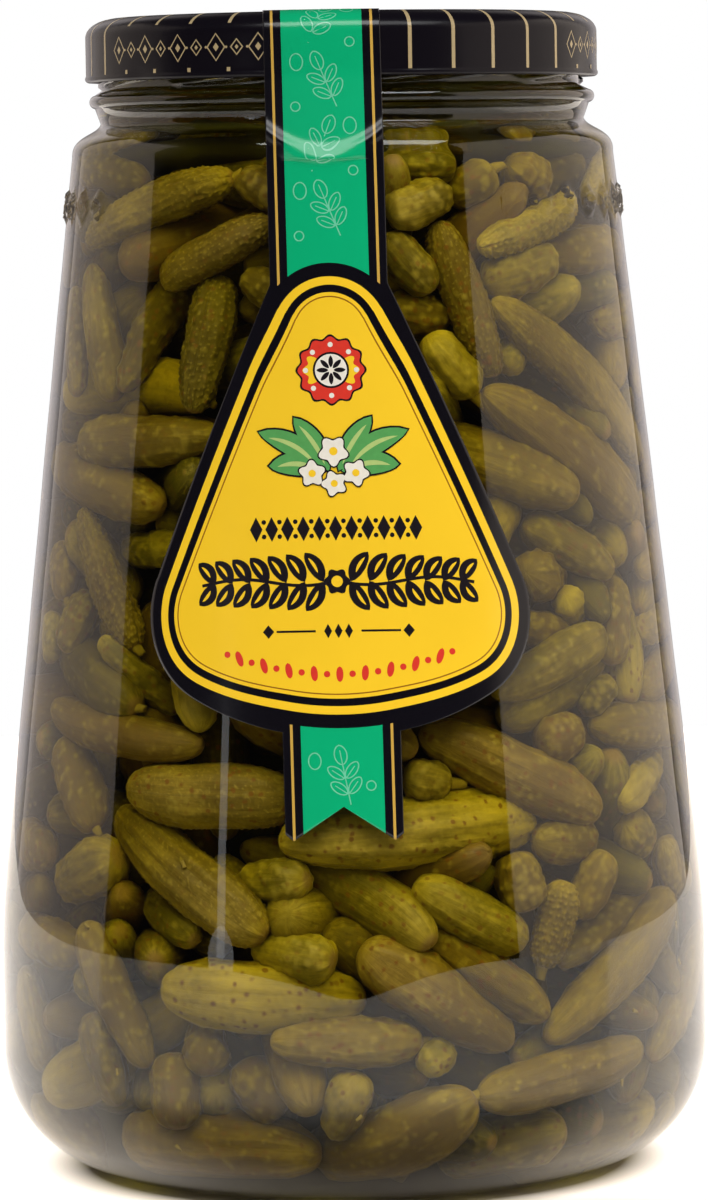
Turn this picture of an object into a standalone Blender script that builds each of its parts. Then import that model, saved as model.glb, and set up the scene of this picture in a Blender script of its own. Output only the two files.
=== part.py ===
"""A tall glass jar of pickled gherkins, shut with a twist-off lid and sealed with a die-cut paper label.

Metres, +Z up. The origin is at the bottom centre and the label faces -Y.
The jar is a cone on a short upright band, with a round heel, a small shoulder and a bead under the lid.
"""

import math

import bmesh
import bpy
import numpy as np

MM = 0.001
AROUND = 40  # facets round the jar and the lid

# Glass, outside
BODY_RADIUS = 71.7 * MM
HEEL_RADIUS = 24.9 * MM
FOOT_RING_INNER = 42.5 * MM
PUNT_HEIGHT = 3.6 * MM
CONE_START = 50.4 * MM  # where the cone would meet the upright band
CONE_EASE = 7.6 * MM  # half the height of the soft bend there
CONE_SLOPE = math.radians(6.31)
CONE_TOP = 205.4 * MM
SHOULDER_TOP = 211.4 * MM
NECK_RADIUS = 48.7 * MM
BEAD_RADIUS = 50.9 * MM
BEAD_HEIGHT = 215.8 * MM
BEAD_ROUND = 1.35 * MM
FINISH_RADIUS = 47.8 * MM
RIM_TOP = 231.0 * MM
RIM_ROUND = 1.4 * MM

# Glass, inside
WALL = 3.2 * MM
BORE_RADIUS = 44.8 * MM
FLOOR_HEIGHT = 8.5 * MM
FLOOR_EDGE = 48.0 * MM
FLOOR_ROUND = 20.3 * MM
NECK_START = 203.6 * MM
NECK_END = 214.6 * MM

# Lid
LID_RADIUS = 51.5 * MM
LID_BOTTOM = 219.7 * MM
LID_SIDE_TOP = 228.7 * MM
LID_TOP = 232.5 * MM
LID_RIDGE_RADIUS = 45.0 * MM
LID_PANEL_RADIUS = 39.5 * MM
LID_PANEL_DROP = 1.2 * MM
LID_BUTTON_RADIUS = 12.0 * MM
LID_BUTTON_RISE = 0.5 * MM
LID_SHEET = 0.8 * MM

# Label: `down` runs along its middle line from the top of the cone, `across` from its middle line
LABEL_PAPER = 0.3 * MM
LABEL_CLEAR = 0.4 * MM
LABEL_LEAN = math.radians(0.86)
LABEL_SHIFT = -3.4 * MM
LABEL_START = 203.8 * MM  # height at which `down` is 0
STRIP_HALF = 11.4 * MM
SIDE_START = 23.9 * MM
SIDE_SLOPE = 0.464
CORNER_ACROSS = 21.2 * MM
CORNER_DOWN = 87.3 * MM
CORNER_ROUND = 17.9 * MM
BASE_ROUND = 59.1 * MM
BASE_DOWN = 111.1 * MM
TAIL_END = 130.9 * MM
TAIL_NOTCH = 124.4 * MM
TAIL_POINT = 0.75  # share of the half width at which the two points lie
TAIL_CORNER = 1.3 * MM
STRIP_END_RADIUS = 21.5 * MM  # how near the middle of the lid the strip reaches
LABEL_COLUMNS = 8

# Gherkins
GHERKIN_SEED = 5
GHERKIN_COUNT = 440
GHERKIN_LAYER = 27.0 * MM  # depth of the packed layer behind the glass
HEAP_TOP = 205.0 * MM  # of the gherkins at the glass
HEAP_CROWN = 220.0 * MM  # of the heap's middle, in the neck
HEAP_FLOOR = 9.5 * MM
HEAP_CLEAR = 0.9 * MM
GLASS_CLEAR = 0.7 * MM  # what a pressed gherkin keeps to the facets of the glass
CORE_DEPTH = 6.5 * MM
SHOW_DEPTH = 4.0 * MM
THIN, THICK = 4.0 * MM, 6.4 * MM
FRONT_SECTOR, FRONT_DEPTH = math.radians(72), 13.0 * MM  # at the front, the drawn ones lie at least so deep
SHORT_SHARE, LONG_SHARE = 2.3, 4.4
LONGEST_HALF = 27.0 * MM
FULLNESS, FULL_POWER, BLUNT_POWER = 1.04, 0.62, 1.15  # how a plain sphere becomes a gherkin

# Packing
ROUNDS = 200
START_SIZE = 0.6  # share of its full size at which a gherkin starts
SEEN_GIVE = 0.25  # how much the gherkins that show give way, against the rest
SEEN_RETURN = 0.04  # share of the way back to its place that such a gherkin moves in each round

# The photo's camera, for the gherkins whose places are read in the photo
EYE = (1.0 * MM, -1120.7 * MM, 203.8 * MM)
EYE_PITCH, EYE_ROLL = math.radians(4.563), math.radians(0.832)
EYE_LENS = 5530.0  # pixels
EYE_MIDDLE = (354.0, 600.0)
BRINE_BEND = 1.0 / 1.33  # sine inside over sine outside

# The gherkins that show at the front, as read by eye in the photo's pixels: both ends (x, y, x, y), thickness, and
# how many millimetres deeper than the nearest ones each lies
SEEN_GHERKINS = [
    (92, 258, 232, 175, 42, 0), (162, 280, 280, 222, 40, 1), (102, 262, 112, 405, 44, 0), (142, 265, 155, 400, 40, 4),
    (230, 280, 185, 415, 44, 1), (85, 430, 225, 452, 50, 0), (55, 460, 168, 505, 54, 0), (82, 515, 135, 650, 39, 0),
    (80, 595, 80, 665, 42, 1), (85, 195, 145, 165, 40, 5), (72, 290, 85, 400, 35, 1), (242, 180, 300, 195, 35, 2),
    (242, 292, 285, 285, 35, 3), (120, 555, 200, 545, 35, 6), (62, 545, 70, 600, 38, 1), (92, 675, 175, 695, 28, 2),
    (50, 615, 55, 665, 30, 0), (469, 240, 576, 215, 36, 0), (459, 220, 466, 385, 40, 1), (379, 185, 445, 216, 42, 1),
    (374, 158, 453, 164, 38, 4), (446, 198, 494, 180, 41, 4), (509, 160, 539, 190, 45, 3), (582, 215, 609, 150, 40, 2),
    (374, 250, 443, 279, 40, 1), (384, 305, 448, 325, 45, 5), (488, 292, 548, 251, 45, 1), (552, 290, 612, 240, 49, 2),
    (419, 342, 473, 398, 41, 2), (496, 295, 636, 475, 50, 0), (589, 285, 636, 355, 50, 2), (499, 372, 522, 348, 30, 5),
    (486, 382, 629, 545, 65, 0), (434, 395, 554, 530, 60, 4), (636, 485, 656, 520, 40, 1), (632, 572, 666, 538, 42, 0),
    (522, 550, 606, 562, 45, 2), (509, 590, 570, 562, 50, 3), (554, 605, 585, 608, 31, 3), (599, 578, 616, 670, 48, 0),
    (632, 638, 676, 602, 39, 0), (519, 645, 570, 620, 36, 4), (502, 710, 599, 628, 46, 0), (629, 692, 674, 645, 44, 0),
    (600, 672, 589, 720, 30, 2), (54, 706, 212, 734, 45, 0), (131, 788, 300, 804, 62, 0), (114, 820, 280, 932, 58, 0),
    (58, 890, 132, 855, 56, 1), (75, 735, 90, 842, 52, 1), (20, 838, 58, 858, 48, 1), (95, 918, 140, 1070, 45, 0),
    (235, 885, 316, 898, 40, 2), (132, 902, 215, 950, 40, 5), (250, 948, 342, 961, 44, 2), (165, 972, 362, 1004, 65, 0),
    (270, 1041, 422, 1044, 48, 0), (342, 1065, 345, 1134, 40, 1), (365, 932, 508, 1048, 60, 0), (408, 920, 540, 1022, 50, 3),
    (412, 878, 522, 948, 50, 2), (278, 856, 534, 815, 70, 0), (418, 738, 598, 808, 58, 0), (408, 782, 442, 788, 40, 2),
    (541, 728, 570, 745, 48, 1), (588, 720, 680, 730, 50, 0), (602, 776, 662, 786, 38, 1), (528, 835, 596, 845, 45, 2),
    (622, 815, 645, 852, 44, 1), (500, 860, 532, 910, 45, 1), (552, 880, 549, 969, 40, 1), (602, 852, 579, 919, 41, 1),
    (655, 850, 678, 890, 44, 0), (644, 868, 560, 975, 38, 4), (669, 898, 542, 1042, 55, 0), (702, 925, 638, 1062, 50, 0),
    (475, 1078, 640, 1062, 50, 0), (345, 1180, 439, 1078, 65, 0), (442, 1175, 542, 1110, 55, 1), (128, 1135, 325, 1151, 65, 0),
    (155, 1065, 205, 1118, 50, 1), (98, 1010, 128, 1100, 41, 2), (30, 965, 50, 1070, 50, 1), (240, 1065, 282, 1115, 50, 5),
    (412, 1062, 452, 1050, 30, 2), (42, 1080, 98, 1148, 50, 1), (198, 1020, 218, 1078, 40, 4), (665, 1085, 590, 1152, 48, 1),
    (25, 925, 82, 958, 46, 1), (85, 968, 122, 1010, 31, 3),
]
PIXEL = 0.198 * MM  # the thickness of one pixel at the jar


def clear_scene():
    for obj in list(bpy.data.objects):
        bpy.data.objects.remove(obj, do_unlink=True)


def new_collection(name):
    collection = bpy.data.collections.new(name)
    bpy.context.scene.collection.children.link(collection)
    return collection


def plain_material(name, colour, roughness, metallic=0.0, transmission=0.0):
    material = bpy.data.materials.new(name)
    material.use_nodes = True
    shader = material.node_tree.nodes["Principled BSDF"]
    shader.inputs["Base Color"].default_value = (*colour, 1.0)
    shader.inputs["Roughness"].default_value = roughness
    shader.inputs["Metallic"].default_value = metallic
    shader.inputs["Transmission Weight"].default_value = transmission
    return material


def new_object(name, mesh, material, collection):
    obj = bpy.data.objects.new(name, mesh)
    mesh.materials.append(material)
    collection.objects.link(obj)
    return obj


def arc(centre_r, centre_z, radius, start, end, steps):
    """Points of an arc in the (r, z) plane, with its angles in degrees from +r towards +z."""
    angles = np.radians(np.linspace(start, end, steps + 1))
    return [(centre_r + radius * math.cos(a), centre_z + radius * math.sin(a)) for a in angles]


def turned(name, profile, material, collection, steps=AROUND):
    """Turns a profile of (r, z) points round Z with a Screw modifier."""
    mesh = bpy.data.meshes.new(name)
    edges = [(i, i + 1) for i in range(len(profile) - 1)]
    mesh.from_pydata([(r, 0.0, z) for r, z in profile], edges, [])
    obj = new_object(name, mesh, material, collection)
    screw = obj.modifiers.new("Screw", "SCREW")
    screw.steps = screw.render_steps = steps
    screw.use_merge_vertices = True
    screw.merge_threshold = 0.00005
    screw.use_smooth_shade = True
    return obj


def body_radius(z):
    """Outer radius of the glass from the heel to the top of the cone: upright, a parabola, then a cone."""
    slope = math.tan(CONE_SLOPE)
    below = np.clip(z - (CONE_START - CONE_EASE), 0.0, 2.0 * CONE_EASE)
    above = np.maximum(z - (CONE_START + CONE_EASE), 0.0)
    return BODY_RADIUS - slope * (below**2 / (4.0 * CONE_EASE) + above)


def inner_radius(z):
    """Inner radius of the glass: a round heel, the body less its wall, and an S-curve up to the bore."""
    z = np.asarray(z, float)
    drop = np.clip(HEEL_RADIUS - z, 0.0, FLOOR_ROUND)
    heel = FLOOR_EDGE + np.sqrt(FLOOR_ROUND**2 - drop**2)
    share = np.clip((z - NECK_START) / (NECK_END - NECK_START), 0.0, 1.0)
    share = share * share * (3.0 - 2.0 * share)
    wall = body_radius(np.minimum(z, NECK_START)) - WALL
    return np.where(z < HEEL_RADIUS, heel, wall * (1.0 - share) + BORE_RADIUS * share)


def glass_profile():
    """The section of the glass: up the inside from the middle of its floor, over the rim, and down the outside."""
    outside = arc(FINISH_RADIUS - RIM_ROUND, RIM_TOP - RIM_ROUND, RIM_ROUND, 90, 0, 3)
    outside += [(FINISH_RADIUS, BEAD_HEIGHT + 1.7 * BEAD_ROUND)]
    outside += arc(BEAD_RADIUS - BEAD_ROUND, BEAD_HEIGHT, BEAD_ROUND, 75, -75, 4)
    outside += [(NECK_RADIUS, BEAD_HEIGHT - 1.6 * BEAD_ROUND), (NECK_RADIUS, SHOULDER_TOP)]
    cone_top = float(body_radius(CONE_TOP))
    rise, reach = SHOULDER_TOP - CONE_TOP, cone_top - NECK_RADIUS
    outside += [(NECK_RADIUS + reach * r, CONE_TOP + rise * z)
                for r, z in ((0.13, 0.82), (0.66, 0.52), (0.87, 0.3))]
    heights = [CONE_TOP, CONE_START + CONE_EASE, CONE_START, CONE_START - CONE_EASE]
    outside += [(float(body_radius(z)), z) for z in heights]
    outside += arc(BODY_RADIUS - HEEL_RADIUS, HEEL_RADIUS, HEEL_RADIUS, 0, -90, 6)
    punt = [(FOOT_RING_INNER, 0.0), (0.8 * FOOT_RING_INNER, 0.6 * PUNT_HEIGHT), (0.0, PUNT_HEIGHT)]
    inside = [(0.0, FLOOR_HEIGHT), (0.72 * FLOOR_EDGE, FLOOR_HEIGHT - 1.6 * MM)]
    inside += arc(FLOOR_EDGE, HEEL_RADIUS, FLOOR_ROUND, -80, 0, 4)
    heights = [CONE_START - CONE_EASE, CONE_START, CONE_START + CONE_EASE, NECK_START]
    heights += list(np.linspace(NECK_START, NECK_END, 5)[1:])
    inside += [(float(inner_radius(z)), z) for z in heights]
    inside += [(BORE_RADIUS, RIM_TOP - RIM_ROUND), (BORE_RADIUS + RIM_ROUND, RIM_TOP)]
    return inside + outside + punt


def make_glass(collection):
    glass = plain_material("clear glass", (0.95, 0.97, 0.95), 0.02, transmission=1.0)
    return turned("jar_glass", glass_profile(), glass, collection)


def lid_profile():
    """The outer skin of the lid, from its middle out over the ridge and down the side."""
    panel = LID_TOP - LID_PANEL_DROP
    button = panel + LID_BUTTON_RISE
    points = [(0.0, button), (LID_BUTTON_RADIUS, button), (LID_BUTTON_RADIUS + 2.0 * MM, panel)]
    points += [(LID_PANEL_RADIUS, panel), (LID_PANEL_RADIUS + 2.6 * MM, LID_TOP)]
    reach, rise = LID_RADIUS - LID_RIDGE_RADIUS, LID_TOP - LID_SIDE_TOP
    for angle in np.radians([90, 68, 45, 22, 0]):
        points.append((LID_RIDGE_RADIUS + reach * math.cos(angle), LID_SIDE_TOP + rise * math.sin(angle)))
    points.append((LID_RADIUS, LID_BOTTOM + 0.5 * MM))
    points.append((LID_RADIUS - 0.4 * MM, LID_BOTTOM))
    return points


def make_lid(collection):
    paint = plain_material("dark lacquer", (0.012, 0.010, 0.020), 0.32, metallic=0.3)
    lid = turned("lid", lid_profile(), paint, collection)
    sheet = lid.modifiers.new("Solidify", "SOLIDIFY")
    sheet.thickness = LID_SHEET
    sheet.offset = -1.0
    return lid


def strip_path():
    """The (r, z) route of the label's strip, from its end on the lid down to the top of the cone."""
    out = LABEL_CLEAR
    panel = LID_TOP - LID_PANEL_DROP + out
    reach, rise = LID_RADIUS - LID_RIDGE_RADIUS, LID_TOP - LID_SIDE_TOP
    route = [(STRIP_END_RADIUS, panel), (LID_PANEL_RADIUS - 3.0 * MM, panel)]
    route.append((LID_PANEL_RADIUS + 1.4 * MM, LID_TOP + out))
    for angle in np.radians([90, 60, 35, 12]):
        route.append((LID_RIDGE_RADIUS + (reach + out) * math.cos(angle),
                      LID_SIDE_TOP + (rise + out) * math.sin(angle)))
    route += [(LID_RADIUS + out, LID_SIDE_TOP - 2.0 * MM), (LID_RADIUS + out, LID_BOTTOM)]
    route.append((float(body_radius(LABEL_START)) + out, LABEL_START))
    return np.array(route)


def label_half_width(down):
    """Half the label's width: a strip, straight sides, round corners, a round base, then the tail."""
    normal = math.atan(SIDE_SLOPE)
    side_end = CORNER_DOWN - CORNER_ROUND * math.sin(normal)
    base_centre = BASE_DOWN - BASE_ROUND
    lean = math.atan2(CORNER_ACROSS, CORNER_DOWN - base_centre)
    corner_end = base_centre + BASE_ROUND * math.cos(lean)
    if down < SIDE_START:
        return STRIP_HALF
    if down < side_end:
        return STRIP_HALF + SIDE_SLOPE * (down - SIDE_START)
    if down < corner_end:
        return CORNER_ACROSS + math.sqrt(max(CORNER_ROUND**2 - (down - CORNER_DOWN) ** 2, 0.0))
    return max(STRIP_HALF, math.sqrt(max(BASE_ROUND**2 - (down - base_centre) ** 2, 0.0)))


def label_point(across, down, route, lengths):
    """Lays a point of the flat label on the jar: over the lid and neck by its route, below by rolling the cone."""
    flat_x = LABEL_SHIFT + across + LABEL_LEAN * down
    if down >= 0.0:
        edge = float(body_radius(LABEL_START)) + LABEL_CLEAR
        apex = edge / math.sin(CONE_SLOPE)
        slant = math.hypot(flat_x, apex + down)
        turn = math.atan2(flat_x, apex + down) / math.sin(CONE_SLOPE)
        radius = slant * math.sin(CONE_SLOPE)
        height = LABEL_START - (slant - apex) * math.cos(CONE_SLOPE)
        return radius * math.sin(turn), -radius * math.cos(turn), height
    radius = float(np.interp(lengths[-1] + down, lengths, route[:, 0]))
    height = float(np.interp(lengths[-1] + down, lengths, route[:, 1]))
    bend = max(radius, LID_RADIUS)  # on the lid the strip lies flat, so every point moves in along +Y
    turn = flat_x / bend
    return bend * math.sin(turn), -bend * math.cos(turn) + bend - radius, height


def label_rows(lengths):
    """The stations along the label, each as its distance down, with more of them where it bends or narrows."""
    top = [float(length - lengths[-1]) for length in lengths[:-1]]
    cone = [0.0, 12 * MM, SIDE_START, 42 * MM, 60 * MM, 79.8 * MM, 84 * MM, 89 * MM, 94 * MM, 99 * MM]
    base_centre = BASE_DOWN - BASE_ROUND
    strip_start = base_centre + math.sqrt(BASE_ROUND**2 - STRIP_HALF**2)
    return top + cone + [102.7 * MM, 105.5 * MM, 108 * MM, strip_start, 117 * MM, TAIL_NOTCH]


def tail_depth(share):
    """How far the swallow tail reaches past its notch, at a share of the half width."""
    deep = TAIL_END - TAIL_NOTCH
    if share <= TAIL_POINT:
        return deep * share / TAIL_POINT
    return deep - TAIL_CORNER * (share - TAIL_POINT) / (1.0 - TAIL_POINT)


def make_label(collection):
    route = strip_path()
    steps = np.hypot(*np.diff(route, axis=0).T)
    lengths = np.concatenate([[0.0], np.cumsum(steps)])
    rows = label_rows(lengths) + [TAIL_NOTCH]
    sheet = bmesh.new()
    bmesh.ops.create_grid(sheet, x_segments=LABEL_COLUMNS, y_segments=len(rows) - 1, size=1.0)
    for vertex in sheet.verts:
        share = vertex.co.x
        index = round((1.0 - vertex.co.y) * 0.5 * (len(rows) - 1))
        down = rows[index]
        across = share * label_half_width(down)
        if index == len(rows) - 1:
            down += max(tail_depth(abs(share)), 0.4 * MM)
        if index == 0:
            down -= 0.5 * tail_depth(abs(share))
        vertex.co = label_point(across, down, route, lengths)
    bmesh.ops.recalc_face_normals(sheet, faces=sheet.faces)
    mesh = bpy.data.meshes.new("label")
    sheet.to_mesh(mesh)
    sheet.free()
    paper = plain_material("printed paper", (0.94, 0.62, 0.03), 0.45)
    label = new_object("label", mesh, paper, collection)
    front = [face for face in mesh.polygons if face.center.z < LABEL_START]
    if sum(face.normal.y for face in front) > 0.0:
        mesh.flip_normals()
    solid = label.modifiers.new("Solidify", "SOLIDIFY")
    solid.thickness = LABEL_PAPER
    solid.offset = 1.0
    return label


def unit(vectors):
    return vectors / np.linalg.norm(vectors, axis=1)[:, None]


def ray_reach(start, way, radius_at, rounds=6):
    """Where rays first meet a turned surface, whose radius at a height is given by a function."""
    height = np.full(len(way), 0.1)
    for _ in range(rounds):
        a = (way[:, :2] ** 2).sum(axis=1)
        b = (start[:, :2] * way[:, :2]).sum(axis=1)
        c = (start[:, :2] ** 2).sum(axis=1) - radius_at(height) ** 2
        share = (-b - np.sqrt(np.maximum(b**2 - a * c, 0.0))) / a
        height = start[:, 2] + way[:, 2] * share
    return start + share[:, None] * way


def seen_through(x, y, depth):
    """The place behind the glass, at a depth from its inner wall, that shows at pixels (x, y) of the photo."""
    x, y = x - EYE_MIDDLE[0], y - EYE_MIDDLE[1]
    across = (x * math.cos(EYE_ROLL) - y * math.sin(EYE_ROLL)) / EYE_LENS
    down = (x * math.sin(EYE_ROLL) + y * math.cos(EYE_ROLL)) / EYE_LENS
    c, s = math.cos(EYE_PITCH), math.sin(EYE_PITCH)
    way = unit(np.stack([across, c - down * s, -s - down * c], axis=1))
    place = ray_reach(np.tile(EYE, (len(x), 1)), way, lambda z: inner_radius(z) + WALL)
    normal = unit(place * (1.0, 1.0, 0.0))
    straight = -(way * normal).sum(axis=1)[:, None]
    bent = np.sqrt(1.0 - BRINE_BEND**2 * (1.0 - straight**2))
    way = BRINE_BEND * way + (BRINE_BEND * straight - bent) * normal
    return ray_reach(place, way, lambda z: inner_radius(z) - depth)


def seen_places():
    """Centre, axis, bend, half length, radius and bow of the gherkins that show, which follow the wall's curve."""
    x0, y0, x1, y1, width, deeper = np.array(SEEN_GHERKINS, float).T
    radius = 0.5 * width * PIXEL
    depth = radius + HEAP_CLEAR + deeper * MM
    start, end = seen_through(x0, y0, depth), seen_through(x1, y1, depth)
    axis, middle = unit(end - start), 0.5 * (start + end)
    half = np.minimum(0.5 * np.linalg.norm(end - start, axis=1), LONGEST_HALF)
    half = np.maximum(half, 1.15 * radius)
    away = np.linalg.norm(middle[:, :2], axis=1)
    radial = np.stack([middle[:, 0] / away, middle[:, 1] / away, 0.0 * away], axis=1)
    bow = np.maximum(inner_radius(middle[:, 2]) - depth - away, 0.0)
    centre = middle + 0.5 * bow[:, None] * radial
    bend = unit(radial - (radial * axis).sum(axis=1)[:, None] * axis)
    return centre, axis, bend, half, radius, bow


def drawn_places(rng):
    """The same for the rest, drawn evenly through the layer, and deeper at the front than the ones that show."""
    drawn = GHERKIN_COUNT - len(SEEN_GHERKINS)
    radius = rng.uniform(THIN, THICK, drawn)
    half = np.minimum(radius * rng.uniform(SHORT_SHARE, LONG_SHARE, drawn), LONGEST_HALF)
    bow = radius * rng.uniform(0.0, 0.75, drawn)
    height = rng.uniform(HEAP_FLOOR + THICK, HEAP_TOP - THICK, 8 * drawn)
    height = height[rng.uniform(0.0, 1.0, 8 * drawn) < inner_radius(height) / BODY_RADIUS][:drawn]
    turn = rng.uniform(-math.pi, math.pi, drawn)
    depth = THICK + rng.uniform(0.0, 1.0, drawn) ** 1.1 * (GHERKIN_LAYER - 1.3 * THICK)
    depth = np.where(np.abs(turn) < FRONT_SECTOR, np.maximum(depth, FRONT_DEPTH), depth)
    away = inner_radius(height) - depth
    centre = np.stack([away * np.sin(turn), -away * np.cos(turn), height], axis=1)
    axis = unit(rng.normal(size=(drawn, 3)) * (1.0, 1.0, 0.75))
    side = rng.normal(size=(drawn, 3))
    bend = unit(side - (side * axis).sum(axis=1)[:, None] * axis)
    return centre, axis, bend, half, radius, bow


STATIONS = np.array([-0.8, -0.42, 0.0, 0.42, 0.8])  # five balls along a gherkin stand for it while it is packed
BALLS = np.array([0.74, 0.96, 1.0, 0.96, 0.74])


def near_pairs(points, radii, owner):
    """Pairs of balls of different gherkins that are near enough to meet within the next few steps."""
    squares = (points**2).sum(axis=1)
    apart = squares[:, None] + squares[None] - 2.0 * points @ points.T
    first, second = np.nonzero(np.triu(apart < (radii[:, None] + radii[None] + 5.0 * MM) ** 2, 1))
    different = owner[first] != owner[second]
    return first[different], second[different]


def wall_pushes(points, radii):
    """How far each ball has to move to lie inside the glass, over the floor and outside the middle."""
    away = np.hypot(points[:, 0], points[:, 1]) + 1e-9
    inner = inner_radius(points[:, 2])
    inwards = np.maximum(away - (inner - radii - HEAP_CLEAR), 0.0)
    outwards = np.maximum(inner - GHERKIN_LAYER + 0.4 * radii - away, 0.0)
    push = np.zeros_like(points)
    push[:, :2] = points[:, :2] * ((0.5 * outwards - inwards) / away)[:, None]
    push[:, 2] = np.maximum(HEAP_FLOOR + radii - points[:, 2], 0.0)
    push[:, 2] -= np.maximum(points[:, 2] - (HEAP_TOP - radii), 0.0)
    return push


def pack_gherkins():
    """Moves overlapping gherkins apart, a little in each round, while they grow to full size."""
    rng = np.random.default_rng(GHERKIN_SEED)
    places = [np.concatenate(pair) for pair in zip(seen_places(), drawn_places(rng))]
    centre, axis, bend, half, radius, bow = places
    home, shown, count = centre.copy(), len(SEEN_GHERKINS), len(centre)
    owner = np.repeat(np.arange(count), len(STATIONS))
    radii = (radius[:, None] * BALLS).ravel()

    def summed(index, values):
        return np.stack([np.bincount(index, values[:, k], count) for k in range(3)], axis=1)

    for step in range(ROUNDS):
        grown = min(1.0, START_SIZE + (1.0 - START_SIZE) * step / (0.5 * ROUNDS)) * radii
        points = centre[:, None] + (STATIONS * half[:, None])[:, :, None] * axis[:, None]
        points += (bow[:, None] * (0.5 - STATIONS**2))[:, :, None] * bend[:, None]
        points = points.reshape(-1, 3)
        if step % 8 == 0:
            first, second = near_pairs(points, radii, owner)
        between = points[first] - points[second]
        distance = np.linalg.norm(between, axis=1) + 1e-9
        short = np.maximum(grown[first] + grown[second] - distance, 0.0)
        touch = short > 0.0
        part = 0.5 * between[touch] * (short[touch] / distance[touch])[:, None]
        walls = wall_pushes(points, grown)
        at_wall = np.nonzero(np.abs(walls).sum(axis=1) > 0.0)[0]
        ball = np.concatenate([first[touch], second[touch], at_wall])
        push = np.concatenate([part, -part, walls[at_wall]])
        which = owner[ball]
        lever = points[ball] - centre[which]
        stiff = np.bincount(which, (lever**2).sum(axis=1), count) + (0.25 * half) ** 2
        contacts = np.bincount(which, minlength=count)
        slow = np.ones(count)
        slow[:shown] = SEEN_GIVE
        centre += slow[:, None] * summed(which, push) / np.maximum(1.0, 0.6 * contacts)[:, None]
        centre[:shown] += SEEN_RETURN * (home[:shown] - centre[:shown])
        twist = slow[:, None] * summed(which, np.cross(lever, push)) / stiff[:, None]
        axis = unit(axis + np.cross(twist, axis))
        bend = bend + np.cross(twist, bend)
        bend = unit(bend - (bend * axis).sum(axis=1)[:, None] * axis)
    return centre, axis, bend, half, radius, bow


def gherkin_mesh(name, centre, axis, bend, half, radius, bow):
    """A bowed gherkin with blunt ends, from a coarse sphere."""
    body = bmesh.new()
    bmesh.ops.create_uvsphere(body, u_segments=6, v_segments=5, radius=1.0)
    side = np.cross(axis, bend)
    for vertex in body.verts:
        x, y, z = vertex.co
        along = math.copysign(abs(z) ** BLUNT_POWER, z)
        fat = math.hypot(x, y)
        width = radius * FULLNESS * min(1.0, fat**FULL_POWER)
        x, y = (x / fat * width, y / fat * width) if fat > 1e-6 else (0.0, 0.0)
        place = centre + along * half * axis + (bow * (0.5 - along**2) + x) * bend + y * side
        place[2] = max(place[2], HEAP_FLOOR)
        limit = float(inner_radius(place[2])) * math.cos(math.pi / AROUND) - GLASS_CLEAR
        place[:2] *= min(1.0, limit / math.hypot(place[0], place[1]))
        vertex.co = place.tolist()
    mesh = bpy.data.meshes.new(name)
    body.to_mesh(mesh)
    body.free()
    return mesh


def outer_shell(mesh):
    """Keeps the largest shell of a mesh, which drops loose scraps and fills sealed hollows."""
    work = bmesh.new()
    work.from_mesh(mesh)
    left, shells = set(work.faces), []
    while left:
        shell, front = set(), [left.pop()]
        while front:
            face = front.pop()
            shell.add(face)
            for edge in face.edges:
                fresh = [other for other in edge.link_faces if other in left]
                left.difference_update(fresh)
                front += fresh
        shells.append(shell)
    largest = max(shells, key=len)
    scraps = [face for shell in shells if shell is not largest for face in shell]
    bmesh.ops.delete(work, geom=scraps, context="FACES")
    work.to_mesh(mesh)
    work.free()


def make_heap(collection):
    """The gherkins that show behind the glass, joined to a plain core by one union."""
    skin = plain_material("pickled gherkin", (0.16, 0.15, 0.035), 0.35)
    crown = [HEAP_CROWN, 0.5 * (HEAP_CROWN + HEAP_TOP)]
    sides = np.linspace(HEAP_TOP - 4.0 * MM, HEEL_RADIUS, 11)
    heights = np.concatenate([crown, sides, [16.0 * MM, HEAP_FLOOR + 1.5 * MM]])
    profile = [(0.0, float(heights[0]))]
    profile += [(float(inner_radius(z)) - CORE_DEPTH, float(z)) for z in heights]
    profile.append((0.0, HEAP_FLOOR + 1.5 * MM))
    core = turned("gherkins", profile, skin, collection, steps=30)
    pieces = new_collection("heap pieces")
    for index, (centre, axis, bend, half, radius, bow) in enumerate(zip(*pack_gherkins())):
        depth = float(inner_radius(centre[2])) - math.hypot(centre[0], centre[1]) - radius
        if depth < SHOW_DEPTH:
            mesh = gherkin_mesh(f"piece {index}", centre, axis, bend, half, radius, bow)
            new_object(f"piece {index}", mesh, skin, pieces)
    union = core.modifiers.new("Union", "BOOLEAN")
    union.operation = "UNION"
    union.operand_type = "COLLECTION"
    union.collection = pieces
    union.solver = "MANIFOLD"
    graph = bpy.context.evaluated_depsgraph_get()
    joined = bpy.data.meshes.new_from_object(core.evaluated_get(graph))
    core.modifiers.clear()
    core.data = joined
    for piece in list(pieces.objects):
        bpy.data.objects.remove(piece, do_unlink=True)
    bpy.data.collections.remove(pieces)
    outer_shell(joined)
    joined.shade_flat()
    return core


def main():
    clear_scene()
    jar = new_collection("pickle jar")
    make_glass(jar)
    make_lid(jar)
    make_label(jar)
    make_heap(jar)


main()
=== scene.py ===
import math

import bpy
import numpy as np
from mathutils import Matrix, Vector


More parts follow.
